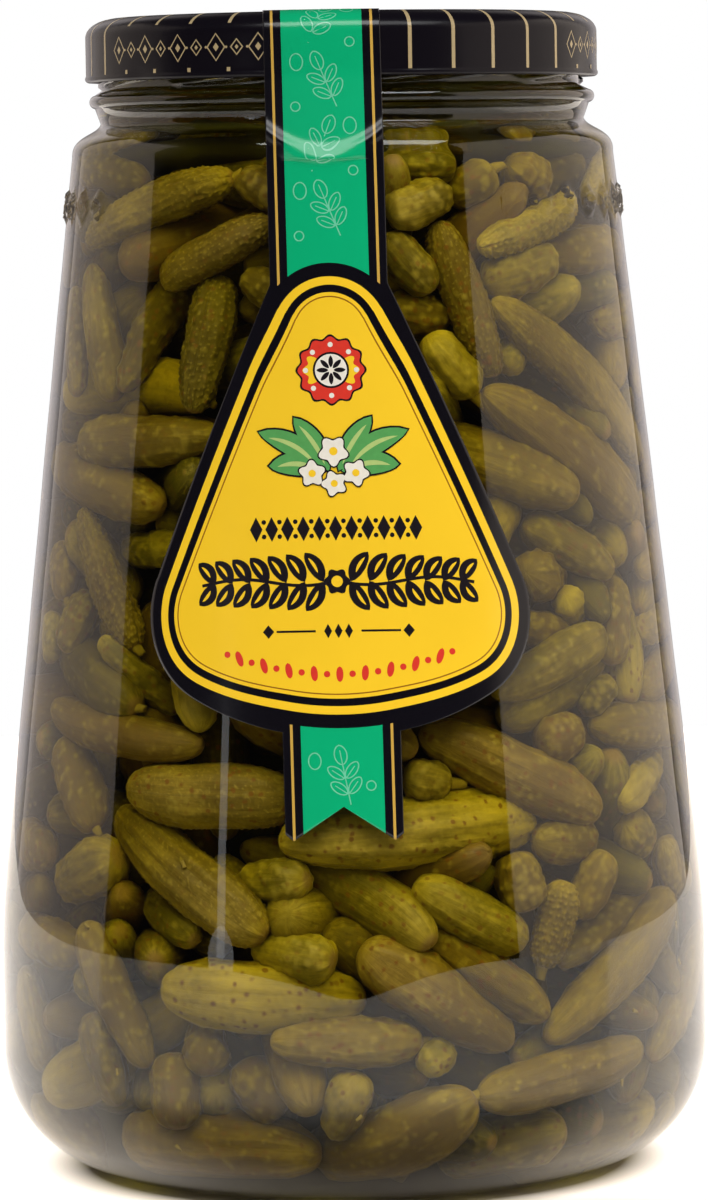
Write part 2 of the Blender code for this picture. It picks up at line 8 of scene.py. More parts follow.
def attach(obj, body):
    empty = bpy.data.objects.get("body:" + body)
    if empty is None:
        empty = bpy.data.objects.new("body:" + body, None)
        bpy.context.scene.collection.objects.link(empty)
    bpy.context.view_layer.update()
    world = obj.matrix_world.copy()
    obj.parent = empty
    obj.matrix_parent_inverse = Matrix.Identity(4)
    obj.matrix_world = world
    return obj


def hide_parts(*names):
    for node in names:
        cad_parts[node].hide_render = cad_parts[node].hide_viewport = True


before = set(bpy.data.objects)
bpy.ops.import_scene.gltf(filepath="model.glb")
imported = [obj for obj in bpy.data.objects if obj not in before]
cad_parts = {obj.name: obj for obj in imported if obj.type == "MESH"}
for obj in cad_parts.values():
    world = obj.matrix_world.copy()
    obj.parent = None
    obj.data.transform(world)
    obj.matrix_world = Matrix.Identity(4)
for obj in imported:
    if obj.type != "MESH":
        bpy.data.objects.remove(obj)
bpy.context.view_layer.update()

mm = 0.001
scene = bpy.context.scene
scene.view_settings.view_transform = "Standard"


# Meshes. A surface is a grid of points over two parameters, worked out as whole arrays.

# Quads between neighbours of a (rows, columns) grid of points whose first has the index `first`; wrapped
# columns close round
def gridQuads(rows, columns, wrap=False, first=0):
    row, column = np.meshgrid(np.arange(rows - 1), np.arange(columns if wrap else columns - 1), indexing="ij")
    after = (column + 1) % columns
    here, above = row * columns, (row + 1) * columns
    quads = np.stack([here + column, here + after, above + after, above + column], axis=-1)
    return quads.reshape(-1, 4) + first


# A closed thin sheet: a (rows, columns) grid, the same grid n points later as its back, and the rim between
def sheetQuads(rows, columns):
    n = rows * columns
    front = gridQuads(rows, columns)
    edge = np.concatenate([np.arange(columns), np.arange(1, rows) * columns + columns - 1,
                           n - 2 - np.arange(columns - 1), np.arange(rows - 2, 0, -1) * columns])
    after = np.roll(edge, -1)
    rim = np.stack([edge, edge + n, after + n, after], axis=-1)
    return np.concatenate([front, front[:, ::-1] + n, rim])


def halves(quads):
    return np.concatenate([quads[:, [0, 1, 2]], quads[:, [0, 2, 3]]])


# The same quads, turned over where they look inwards
def lookingOut(points, quads):
    return quads if facesLookOut(points - points.mean(axis=0), halves(quads)) else quads[:, ::-1]


# Triangles from one pole point to a ring of `columns` points
def poleFan(pole, ring, columns, flip=False):
    here = ring + np.arange(columns)
    after = ring + (np.arange(columns) + 1) % columns
    fan = np.stack([np.full(columns, pole), after, here], axis=-1)
    return fan[:, ::-1] if flip else fan


# Six times the volume is the sum of a . (b x c) over the triangles, which is above zero where faces look out
def facesLookOut(points, triangles):
    a, b, c = (points[triangles[:, k]] for k in range(3))
    return float(np.einsum("ij,ij->i", a, np.cross(b, c)).sum()) > 0.0


def buildMesh(name, points, quads, triangles=None, closed=True, smooth=True):
    points = np.asarray(points, float).reshape(-1, 3)
    quads = np.asarray(quads, np.int32).reshape(-1, 4)
    triangles = np.zeros((0, 3), np.int32) if triangles is None else np.asarray(triangles, np.int32)
    if closed and not facesLookOut(points, np.concatenate([halves(quads), triangles])):
        quads, triangles = quads[:, ::-1], triangles[:, ::-1]
    corners = np.concatenate([quads.ravel(), triangles.ravel()]).astype(np.int32)
    sizes = np.concatenate([np.full(len(quads), 4), np.full(len(triangles), 3)])
    starts = np.concatenate([[0], np.cumsum(sizes)[:-1]]).astype(np.int32)
    mesh = bpy.data.meshes.new(name)
    mesh.vertices.add(len(points))
    mesh.vertices.foreach_set("co", points.astype(np.float32).ravel())
    mesh.loops.add(len(corners))
    mesh.loops.foreach_set("vertex_index", corners)
    mesh.polygons.add(len(sizes))
    mesh.polygons.foreach_set("loop_start", starts)
    mesh.update(calc_edges=True)
    mesh.polygons.foreach_set("use_smooth", np.full(len(sizes), smooth))
    piece = bpy.data.objects.new(name, mesh)
    scene.collection.objects.link(piece)
    return piece


def addAttribute(piece, name, kind, field, values):
    layer = piece.data.attributes.new(name, kind, "POINT")
    layer.data.foreach_set(field, np.asarray(values, np.float32).ravel())


# A UV map from one (u, v) pair for each point
def addUv(piece, name, pairs):
    layer = piece.data.uv_layers.new(name=name)
    index = np.zeros(len(piece.data.loops), np.int32)
    piece.data.loops.foreach_get("vertex_index", index)
    layer.data.foreach_set("uv", np.asarray(pairs, np.float32)[index].ravel())


def unit(vectors):
    return vectors / np.linalg.norm(vectors, axis=-1, keepdims=True)


# The part of each vector that is square to `axis`, at unit length
def squareTo(axis, vectors):
    return unit(vectors - (vectors * axis).sum(axis=-1, keepdims=True) * axis)


# The length along a path from its start to each of its points
def pathLength(points):
    return np.concatenate([[0.0], np.cumsum(np.hypot(*np.diff(points, axis=0).T))])


# The point at radius r and height z, turned by t from the label's side towards +X
def turnedTo(r, t, z):
    return np.stack([r * np.sin(t), -r * np.cos(t), z], axis=-1)


# A turned piece from a profile of points (r, z) with a pole at each end. `change` gives what the radius grows
# by at (r, z, t), and `crowd` draws the steps together at both sides.
def turnedPiece(name, profile, steps, change=None, crowd=0.0):
    profile = np.asarray(profile, float)
    radius, height = profile[1:-1, 0][:, None], profile[1:-1, 1][:, None]
    turn = np.linspace(-math.pi, math.pi, steps, endpoint=False)[None]
    turn = turn + crowd * np.sin(2.0 * turn)
    grown = radius + (change(radius, height, turn) if change else 0.0 * turn)
    ring = turnedTo(grown, turn, height + 0.0 * turn)
    points = np.concatenate([[[0.0, 0.0, profile[0, 1]]], ring.reshape(-1, 3), [[0.0, 0.0, profile[-1, 1]]]])
    rows = len(profile) - 2
    last = 1 + (rows - 1) * steps
    fans = np.concatenate([poleFan(0, 1, steps), poleFan(len(points) - 1, last, steps, flip=True)])
    return buildMesh(name, points, gridQuads(rows, steps, wrap=True, first=1), fans)


# Points of an arc in the (r, z) plane, with its angles in degrees from +r towards +z
def arc(r, z, size, start, end, steps):
    angle = np.radians(np.linspace(start, end, steps))
    return np.stack([r + size * np.cos(angle), z + size * np.sin(angle)], axis=1)


def line(r0, z0, r1, z1, steps):
    return np.stack([np.linspace(r0, r1, steps), np.linspace(z0, z1, steps)], axis=1)


# Even steps from stop to stop, with `counts` points in each run, both of its ends included
def stepped(stops, counts):
    runs = [np.linspace(start, end, count)[1:] for start, end, count in zip(stops, stops[1:], counts)]
    return np.concatenate([stops[:1]] + runs)


def smoothStep(low, high, value):
    share = np.clip((value - low) / (high - low), 0.0, 1.0)
    return share * share * (3.0 - 2.0 * share)


# Materials

def newMaterial(name):
    material = bpy.data.materials.new(name)
    material.use_nodes = True
    return material, material.node_tree, material.node_tree.nodes["Principled BSDF"]


# Each input is a number, a colour or the output that feeds it
def setInputs(tree, node, inputs):
    for key, value in inputs.items():
        if isinstance(value, bpy.types.NodeSocket):
            tree.links.new(value, node.inputs[key])
        else:
            node.inputs[key].default_value = value


def addNode(tree, kind, inputs={}, **settings):
    made = tree.nodes.new(kind)
    for key, value in settings.items():
        setattr(made, key, value)
    setInputs(tree, made, inputs)
    return made


def calc(tree, operation, first, second=None):
    inputs = {0: first} if second is None else {0: first, 1: second}
    return addNode(tree, "ShaderNodeMath", inputs, operation=operation).outputs[0]


def times(tree, first, second):
    return calc(tree, "MULTIPLY", first, second)


def opaque(colour):
    return (*colour, 1.0) if isinstance(colour, tuple) else colour


def mixColours(tree, share, first, second, blend="MIX"):
    first, second = opaque(first), opaque(second)
    made = addNode(tree, "ShaderNodeMix", {0: share, 6: first, 7: second}, data_type="RGBA", blend_type=blend)
    return made.outputs[2]


def ramp(tree, value, stops, interpolation="LINEAR"):
    made = addNode(tree, "ShaderNodeValToRGB", {"Fac": value})
    band = made.color_ramp
    band.interpolation = interpolation
    while len(band.elements) < len(stops):
        band.elements.new(0.5)
    for element, (place, colour) in zip(band.elements, stops):
        element.position = place
        element.color = opaque(colour)
    return made.outputs[0]


def remap(tree, value, low, high, newLow=0.0, newHigh=1.0, kind="LINEAR"):
    inputs = {0: value, 1: low, 2: high, 3: newLow, 4: newHigh}
    return addNode(tree, "ShaderNodeMapRange", inputs, interpolation_type=kind).outputs[0]


def noise(tree, vector, scale, detail=2.0, roughness=0.5):
    inputs = {"Vector": vector, "Scale": scale, "Detail": detail, "Roughness": roughness}
    return addNode(tree, "ShaderNodeTexNoise", inputs).outputs["Fac"]


def objectPlace(tree):
    return addNode(tree, "ShaderNodeTexCoord").outputs["Object"]


def bump(tree, height, distance, strength, before=None):
    inputs = {"Height": height, "Distance": distance, "Strength": strength}
    if before is not None:
        inputs["Normal"] = before
    return addNode(tree, "ShaderNodeBump", inputs).outputs[0]


# A colour made darker by soft noise, down to the share `low` of itself
def shaded(tree, colour, scale, detail, low):
    shade = remap(tree, noise(tree, objectPlace(tree), scale, detail), 0.3, 0.7, low, 1.0)
    grey = addNode(tree, "ShaderNodeCombineColor", {0: shade, 1: shade, 2: shade}).outputs[0]
    return mixColours(tree, 1.0, colour, grey, "MULTIPLY")


# Glass and brine let light straight through to what is behind them, so that it is lit without caustics
def clearMaterial(name, colour, ior, mirror):
    material, tree, shader = newMaterial(name)
    setInputs(tree, shader, {
        "Base Color": opaque(colour), "Transmission Weight": 1.0, "Roughness": 0.0, "IOR": ior,
        "Specular Tint": (mirror, mirror, mirror, 1.0),
    })
    through = addNode(tree, "ShaderNodeBsdfTransparent", {"Color": (*[0.5 + 0.5 * c for c in colour], 1.0)})
    shadow = addNode(tree, "ShaderNodeLightPath").outputs["Is Shadow Ray"]
    both = addNode(tree, "ShaderNodeMixShader", {0: shadow, 1: shader.outputs[0], 2: through.outputs[0]})
    setInputs(tree, tree.nodes["Material Output"], {"Surface": both.outputs[0]})
    return material


# Camera, lights and floor

stage = {
    "cameraPlace": (0.0010, -1.1207, 0.2038),
    "pitch": 4.563,  # degrees down
    "roll": 0.832,  # degrees, the jar's top leans left
    "lens": 165.9, "sensor": 36.0, "photo": (708.0, 1200.0),  # millimetres, and the photo's pixels
    "aim": (0.0, 0.0, 0.13),
}


def makeCamera():
    camera = bpy.data.objects.new("camera", bpy.data.cameras.new("camera"))
    scene.collection.objects.link(camera)
    camera.data.lens = stage["lens"]
    camera.data.sensor_width = stage["sensor"]
    pitch, roll = math.radians(stage["pitch"]), math.radians(stage["roll"])
    right = Vector((1.0, 0.0, 0.0))
    up = Vector((0.0, math.sin(pitch), math.cos(pitch)))
    back = Vector((0.0, -math.cos(pitch), math.sin(pitch)))
    c, s = math.cos(roll), math.sin(roll)
    turned = Matrix((c * right - s * up, c * up + s * right, back)).transposed().to_4x4()
    camera.matrix_world = Matrix.Translation(stage["cameraPlace"]) @ turned
    scene.camera = camera


# One panel of even light: `around` is in degrees from the label's side towards +X, `height` is its middle's
def makePanel(name, around, distance, height, width, tall, radiance, colour=(1, 1, 1), shape="RECTANGLE"):
    light = bpy.data.lights.new(name, "AREA")
    light.shape = shape
    light.size, light.size_y = width, tall
    light.energy = 4.0 * width * tall * radiance
    light.color = colour
    panel = bpy.data.objects.new(name, light)
    turn = math.radians(around)
    place = Vector((distance * math.sin(turn), -distance * math.cos(turn), height))
    panel.location = place
    panel.rotation_euler = (Vector(stage["aim"]) - place).to_track_quat("-Z", "Y").to_euler()
    panel.visible_camera = False
    scene.collection.objects.link(panel)


def makeLights():
    makePanel("key light", 6.0, 0.85, 1.35, 1.7, 0.7, 4.6)
    makePanel("left panel", -115.0, 1.1, 0.25, 1.25, 1.7, 0.6, (1.0, 0.86, 0.76))
    makePanel("right panel", 97.0, 1.0, 0.25, 2.0, 1.7, 0.9, (1.0, 0.87, 0.76))
    makePanel("strip light", -42.0, 1.1, 0.12, 0.05, 0.2, 1.2)
    makePanel("strip light foot", -42.0, 1.1, 0.02, 0.16, 0.2, 0.9, shape="ELLIPSE")


# Ranges are (low, high) or (low, high, value at low, value at high)
roomLook = {
    "aside": (0.05, 0.2), "behind": (0.78, 0.9, 0.0, 0.85), "elsewhere": 0.02,
    "tint": (1.0, 0.91, 0.90), "seen": (1.0, 1.0, 1.0),
}
# The floor glows as painted light: brightest behind the jar, fainter in front and none close round the jar's
# foot
floorLook = {  # in metres: y, or the distance from the middle
    "rearY": (-0.068, -0.045, 0.0, 1.25), "rearAway": (0.055, 0.064),
    "frontAway": (0.102, 0.150), "frontFade": (0.2, 0.36, 0.85, 0.38), "contactShadowAway": (0.07, 0.12),
    # dark: the colour of a painted contact shadow round the jar's foot
    "dark": (0.3, 0.25, 0.19), "pale": (0.86, 0.86, 0.86), "glow": (1.0, 0.9, 0.8, 1.0), "rough": 0.7,
    "reach": 0.85, "frontReach": 0.36, "frontTurn": math.radians(52), "steps": 96,
}


# A white room: bright behind the jar at both sides, dim elsewhere, white where the camera looks
def makeRoom():
    room = bpy.data.worlds.new("room")
    room.use_nodes = True
    tree = room.node_tree
    way = addNode(tree, "ShaderNodeTexCoord").outputs["Generated"]
    parts = addNode(tree, "ShaderNodeSeparateXYZ", {0: way})
    aside = remap(tree, calc(tree, "ABSOLUTE", parts.outputs["X"]), *roomLook["aside"])
    behind = times(tree, remap(tree, parts.outputs["Y"], *roomLook["behind"]), aside)
    behind = calc(tree, "ADD", behind, roomLook["elsewhere"])
    camera = addNode(tree, "ShaderNodeLightPath").outputs["Is Camera Ray"]
    strength = calc(tree, "MAXIMUM", behind, camera)
    tint = mixColours(tree, camera, roomLook["tint"], roomLook["seen"])
    setInputs(tree, tree.nodes["Background"], {"Strength": strength, "Color": tint})
    scene.world = room


def makeFloor():
    material, tree, shader = newMaterial("pale floor")
    parts = addNode(tree, "ShaderNodeSeparateXYZ", {0: objectPlace(tree)})
    away = addNode(tree, "ShaderNodeVectorMath", {0: objectPlace(tree)}, operation="LENGTH").outputs["Value"]

    def ranged(key):
        return remap(tree, away, *floorLook[key])

    # Painted light: the floor's glow, behind the jar and, fading with distance, in front of it
    rearGlow = times(tree, remap(tree, parts.outputs["Y"], *floorLook["rearY"]), ranged("rearAway"))
    front = times(tree, ranged("frontAway"), ranged("frontFade"))
    setInputs(tree, shader, {
        # Painted contact shadow: the base colour goes from dark at the jar's foot to pale further out
        "Base Color": mixColours(tree, ranged("contactShadowAway"), floorLook["dark"], floorLook["pale"]),
        "Roughness": floorLook["rough"], "Emission Color": floorLook["glow"],
        "Emission Strength": calc(tree, "MAXIMUM", rearGlow, front),
    })
    p = np.linspace(0.0, 2.0 * math.pi, floorLook["steps"], endpoint=False)
    fromFront = np.abs((p + math.pi) % (2.0 * math.pi) - math.pi)
    front = 1.0 - smoothStep(0.0, floorLook["frontTurn"], fromFront)
    reach = floorLook["reach"] * (1.0 - front) + floorLook["frontReach"] * front
    rim = turnedTo(reach, p, 0.0 * p)
    points = np.concatenate([[[0.0, 0.0, 0.0]], rim])
    fan = poleFan(0, 1, len(p), flip=True)
    floor = buildMesh("floor", points, np.zeros((0, 4)), fan, closed=False, smooth=False)
    floor.data.materials.append(material)


# The jar's glass

jar = {
    "bodyRadius": 71.7 * mm, "heelRadius": 24.9 * mm, "footInner": 42.5 * mm, "punt": 3.6 * mm,
    "coneStart": 50.4 * mm, "coneEase": 7.6 * mm, "coneSlope": math.radians(6.31),
    "coneTop": 205.4 * mm, "shoulderTop": 211.4 * mm, "neckRadius": 48.7 * mm,
    "beadRadius": 50.9 * mm, "beadHeight": 215.8 * mm, "beadRound": 1.35 * mm,
    "finishRadius": 47.8 * mm, "rimTop": 231.0 * mm, "rimRound": 1.4 * mm,
    "wall": 3.2 * mm, "boreRadius": 44.8 * mm, "floorHeight": 8.5 * mm, "floorEdge": 48.0 * mm,
    "floorRound": 20.3 * mm, "neckStart": 203.6 * mm, "neckEnd": 214.6 * mm,
    "steps": 400, "crowd": 0.3,  # how much closer the steps are at both sides
    "threads": 8, "threadRise": 1.5 * mm, "threadLow": 218.6 * mm, "threadClimb": 3.6 * mm,
    "emblemHeight": 195.0 * mm, "emblemRise": 0.85 * mm, "emblemPitch": math.radians(8.0),
    "waver": 0.05 * mm,
    "wetLow": 4.6 * mm,  # faces of the inside lie above this
    "clear": (0.985, 0.99, 0.985), "bend": 1.5,
}


# Upright, then a parabola, then a cone: R - tan(slope) (b^2 / 4e + a), with b the height in the bend and a
# the height above it
def bodyRadius(z):
    slope, ease = math.tan(jar["coneSlope"]), jar["coneEase"]
    bend = np.clip(z - (jar["coneStart"] - ease), 0.0, 2.0 * ease)
    above = np.maximum(z - (jar["coneStart"] + ease), 0.0)
    return jar["bodyRadius"] - slope * (bend**2 / (4.0 * ease) + above)


# A round heel, the body less its wall, and an S-curve up to the bore
def innerRadius(z):
    z = np.asarray(z, float)
    drop = np.clip(jar["heelRadius"] - z, 0.0, jar["floorRound"])
    heel = jar["floorEdge"] + np.sqrt(jar["floorRound"] ** 2 - drop**2)
    share = smoothStep(jar["neckStart"], jar["neckEnd"], z)
    wall = bodyRadius(np.minimum(z, jar["neckStart"])) - jar["wall"]
    return np.where(z < jar["heelRadius"], heel, wall * (1.0 - share) + jar["boreRadius"] * share)


# The jar's inside below a level, moved out into the wall by `out`: floor, heel arc, cone and neck
def insideProfile(level, out=0.0):
    edge = jar["floorEdge"] + jar["floorRound"] * math.cos(math.radians(80))
    low = jar["heelRadius"] - jar["floorRound"] * math.sin(math.radians(80)) - out
    r = np.linspace(0.0, edge, 15)[:-1]
    base = np.stack([r, low + (jar["floorHeight"] - out - low) * (1.0 - (r / edge) ** 2)], axis=1)
    heel = arc(jar["floorEdge"], jar["heelRadius"], jar["floorRound"] + out, -80, 0, 12)
    start, end = jar["coneStart"] - jar["coneEase"], jar["coneStart"] + jar["coneEase"]
    z = stepped([start, end, jar["neckStart"], jar["neckEnd"], level], [7, 16, 10, 4])
    z = np.concatenate([[0.5 * (start + jar["heelRadius"])], z])
    return np.concatenate([base, heel, np.stack([innerRadius(z) + out, z], axis=1)])


# Up the outside from the middle of the punt, over the rim and down the inside
def glassProfile():
    r = np.linspace(0.0, jar["footInner"], 14)
    punt = np.stack([r, jar["punt"] * (1.0 - (r / jar["footInner"]) ** 4.1)], axis=1)
    heel = arc(jar["bodyRadius"] - jar["heelRadius"], jar["heelRadius"], jar["heelRadius"], -90, 0, 22)
    start, end = jar["coneStart"] - jar["coneEase"], jar["coneStart"] + jar["coneEase"]
    z = stepped([jar["heelRadius"], start, end, 188 * mm], [7, 8, 40])[1:]
    z = np.concatenate([z, np.arange(188.8, 201.3, 0.8) * mm, [203.0 * mm, 204.6 * mm, jar["coneTop"]]])
    body = np.stack([bodyRadius(z), z], axis=1)
    top, rise = float(bodyRadius(jar["coneTop"])), jar["shoulderTop"] - jar["coneTop"]
    t = np.linspace(0.0, 1.0, 13)[1:]
    share = (1 - t) ** 3 + 3 * (1 - t) ** 2 * t * 0.95 + 3 * (1 - t) * t**2 * 0.1
    lift = 3 * (1 - t) ** 2 * t * 0.62 + 3 * (1 - t) * t**2 * 0.66 + t**3
    r = jar["neckRadius"] + (top - jar["neckRadius"]) * share
    shoulder = np.stack([r, jar["coneTop"] + rise * lift], axis=1)
    bead = arc(jar["beadRadius"] - jar["beadRound"], jar["beadHeight"], jar["beadRound"], -80, 80, 11)
    finishLow = jar["beadHeight"] + 1.7 * jar["beadRound"]
    finishTop = jar["rimTop"] - jar["rimRound"]
    finish = line(jar["finishRadius"], finishLow, jar["finishRadius"], finishTop, 20)
    rim = arc(jar["finishRadius"] - jar["rimRound"], finishTop, jar["rimRound"], 0, 90, 6)[1:]
    lip = arc(jar["boreRadius"] + jar["rimRound"], finishTop, jar["rimRound"], 90, 180, 6)
    inside = insideProfile(finishTop)[::-1][1:]
    return np.concatenate([punt, heel, body, shoulder, bead, finish, rim, lip, inside])


# What the outside grows by: slanted threads, raised lozenges at both sides, mould seams and a faint waver
def glassRelief(r, z, t):
    outside = (r > innerRadius(z) + 1.5 * mm) & (z > jar["heelRadius"])
    lead = 2.0 * math.pi / jar["threads"]
    along = np.mod(t, lead) / lead
    middle = jar["threadLow"] + jar["threadClimb"] * along
    ends = smoothStep(0.0, 0.12, along) * smoothStep(1.0, 0.86, along)
    threads = jar["threadRise"] * ends * np.exp(-(((z - middle) / (0.9 * mm)) ** 2)) * (z > 217.5 * mm)
    place = np.mod(t, jar["emblemPitch"]) / jar["emblemPitch"] - 0.5
    across = place * jar["emblemPitch"] * bodyRadius(z)
    ring = np.abs(np.abs(across) / (2.9 * mm) + np.abs(z - jar["emblemHeight"]) / (3.4 * mm) - 0.75)
    degrees = np.degrees(t)
    beside = (degrees > 32) & (degrees < 96) | (degrees < -56) & (degrees > -96)
    lozenges = jar["emblemRise"] * np.exp(-((ring / 0.17) ** 2)) * beside
    seam = np.exp(-(((np.abs(t) - math.radians(96)) * r / (0.5 * mm)) ** 2)) * 0.06 * mm
    waver = jar["waver"] * (np.sin(3.0 * t + 90.0 * z) * np.sin(5.0 * t - 150.0 * z) - 1.0)
    return np.where(outside, threads + lozenges + (seam + waver) * (z < jar["coneTop"]), 0.0)


def makeGlass():
    glass = turnedPiece("jarGlass", glassProfile(), jar["steps"], glassRelief, jar["crowd"])
    for name, mirror in (("clear glass", 1.0), ("wetted glass", 0.0)):
        glass.data.materials.append(clearMaterial(name, jar["clear"], jar["bend"], mirror))
    mesh = glass.data
    centre = np.zeros(3 * len(mesh.polygons), np.float32)
    mesh.polygons.foreach_get("center", centre)
    centre = centre.reshape(-1, 3)
    away = np.hypot(centre[:, 0], centre[:, 1])
    wet = (centre[:, 2] > jar["wetLow"]) & (centre[:, 2] < brine["level"])
    inner = (away < innerRadius(centre[:, 2]) + 0.8 * mm) & wet
    mesh.polygons.foreach_set("material_index", inner.astype(np.int32))
    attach(glass, "root")
    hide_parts("jar_glass")
    print("glass:", len(mesh.polygons), "faces")


# The brine fills the jar up to its level and reaches just into the wall

brine = {
    "level": 222.0 * mm, "into": 0.15 * mm, "steps": 200,
    "absorb": 170.0,  # per metre
    "colour": (0.885, 0.87, 0.0), "bend": 1.33,
}


def makeBrine():
    profile = insideProfile(brine["level"], out=brine["into"])
    profile = np.concatenate([profile, [[profile[-1, 0] - 2.0 * mm, brine["level"]], [0.0, brine["level"]]]])
    piece = turnedPiece("brine", profile, brine["steps"])
    material = clearMaterial("brine", (1.0, 1.0, 1.0), brine["bend"], mirror=0.0)
    tree = material.node_tree
    inputs = {"Color": opaque(brine["colour"]), "Density": brine["absorb"]}
    volume = addNode(tree, "ShaderNodeVolumeAbsorption", inputs).outputs[0]
    setInputs(tree, tree.nodes["Material Output"], {"Volume": volume})
    piece.data.materials.append(material)
    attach(piece, "root")
    print("brine:", len(piece.data.polygons), "faces")


# The gherkins, packed by the same rule as the solid heap

heap = {
    "seed": 5, "count": 440, "layer": 27.0 * mm, "clear": 0.9 * mm,
    "top": 205.0 * mm, "crown": 220.0 * mm, "floor": 9.5 * mm,
    "thin": 4.0 * mm, "thick": 6.4 * mm, "shortShare": 2.3, "longShare": 4.4, "longestHalf": 27.0 * mm,
    "rounds": 200, "press": 0.25 * mm,
    # neckShade: the share of their lightness that the neck's gherkins keep, a painted shade under the lid
    "neckCount": 22, "neckDepth": 6.5 * mm, "neckShade": 0.12,
    "frontSector": math.radians(72), "frontDepth": 13.0 * mm,  # the drawn ones lie so deep at the front
    "nearDepth": 9.0 * mm,  # gherkins that reach nearer to the glass than this are made fine
    "warts": 40, "fineWarts": 90, "pimpleStep": 1.25 * mm,
}

# The gherkins that show at the front, read in the photo's pixels: both ends (x, y, x, y), thickness,
# and how many millimetres deeper than the nearest ones each lies
seenGherkins = [
    (92, 258, 232, 175, 42, 0), (162, 280, 280, 222, 40, 1), (102, 262, 112, 405, 44, 0),
    (142, 265, 155, 400, 40, 4), (230, 280, 185, 415, 44, 1), (85, 430, 225, 452, 50, 0),
    (55, 460, 168, 505, 54, 0), (82, 515, 135, 650, 39, 0), (80, 595, 80, 665, 42, 1),
    (85, 195, 145, 165, 40, 5), (72, 290, 85, 400, 35, 1), (242, 180, 300, 195, 35, 2),
    (242, 292, 285, 285, 35, 3), (120, 555, 200, 545, 35, 6), (62, 545, 70, 600, 38, 1),
    (92, 675, 175, 695, 28, 2), (50, 615, 55, 665, 30, 0), (469, 240, 576, 215, 36, 0),
    (459, 220, 466, 385, 40, 1), (379, 185, 445, 216, 42, 1), (374, 158, 453, 164, 38, 4),
    (446, 198, 494, 180, 41, 4), (509, 160, 539, 190, 45, 3), (582, 215, 609, 150, 40, 2),
    (374, 250, 443, 279, 40, 1), (384, 305, 448, 325, 45, 5), (488, 292, 548, 251, 45, 1),
    (552, 290, 612, 240, 49, 2), (419, 342, 473, 398, 41, 2), (496, 295, 636, 475, 50, 0),
    (589, 285, 636, 355, 50, 2), (499, 372, 522, 348, 30, 5), (486, 382, 629, 545, 65, 0),
    (434, 395, 554, 530, 60, 4), (636, 485, 656, 520, 40, 1), (632, 572, 666, 538, 42, 0),
    (522, 550, 606, 562, 45, 2), (509, 590, 570, 562, 50, 3), (554, 605, 585, 608, 31, 3),
    (599, 578, 616, 670, 48, 0), (632, 638, 676, 602, 39, 0), (519, 645, 570, 620, 36, 4),
    (502, 710, 599, 628, 46, 0), (629, 692, 674, 645, 44, 0), (600, 672, 589, 720, 30, 2),
    (54, 706, 212, 734, 45, 0), (131, 788, 300, 804, 62, 0), (114, 820, 280, 932, 58, 0),
    (58, 890, 132, 855, 56, 1), (75, 735, 90, 842, 52, 1), (20, 838, 58, 858, 48, 1),
    (95, 918, 140, 1070, 45, 0), (235, 885, 316, 898, 40, 2), (132, 902, 215, 950, 40, 5),
    (250, 948, 342, 961, 44, 2), (165, 972, 362, 1004, 65, 0), (270, 1041, 422, 1044, 48, 0),
    (342, 1065, 345, 1134, 40, 1), (365, 932, 508, 1048, 60, 0), (408, 920, 540, 1022, 50, 3),
    (412, 878, 522, 948, 50, 2), (278, 856, 534, 815, 70, 0), (418, 738, 598, 808, 58, 0),
    (408, 782, 442, 788, 40, 2), (541, 728, 570, 745, 48, 1), (588, 720, 680, 730, 50, 0),
    (602, 776, 662, 786, 38, 1), (528, 835, 596, 845, 45, 2), (622, 815, 645, 852, 44, 1),
    (500, 860, 532, 910, 45, 1), (552, 880, 549, 969, 40, 1), (602, 852, 579, 919, 41, 1),
    (655, 850, 678, 890, 44, 0), (644, 868, 560, 975, 38, 4), (669, 898, 542, 1042, 55, 0),
    (702, 925, 638, 1062, 50, 0), (475, 1078, 640, 1062, 50, 0), (345, 1180, 439, 1078, 65, 0),
    (442, 1175, 542, 1110, 55, 1), (128, 1135, 325, 1151, 65, 0), (155, 1065, 205, 1118, 50, 1),
    (98, 1010, 128, 1100, 41, 2), (30, 965, 50, 1070, 50, 1), (240, 1065, 282, 1115, 50, 5),
    (412, 1062, 452, 1050, 30, 2), (42, 1080, 98, 1148, 50, 1), (198, 1020, 218, 1078, 40, 4),
    (665, 1085, 590, 1152, 48, 1), (25, 925, 82, 958, 46, 1), (85, 968, 122, 1010, 31, 3),
]
pixel = 0.198 * mm  # the thickness of one pixel at the jar

stations = np.array([-0.8, -0.42, 0.0, 0.42, 0.8])  # five balls stand for a gherkin while it is packed
balls = np.array([0.74, 0.96, 1.0, 0.96, 0.74])


# Where rays first meet a turned surface with the given radius at each height, found in a few rounds
def rayReach(start, way, radiusAt):
    height = np.full(len(way), 0.1)
    for turn in range(6):
        a = (way[:, :2] ** 2).sum(axis=1)
        b = (start[:, :2] * way[:, :2]).sum(axis=1)
        c = (start[:, :2] ** 2).sum(axis=1) - radiusAt(height) ** 2
        share = (-b - np.sqrt(np.maximum(b**2 - a * c, 0.0))) / a
        height = start[:, 2] + way[:, 2] * share
    return start + share[:, None] * way


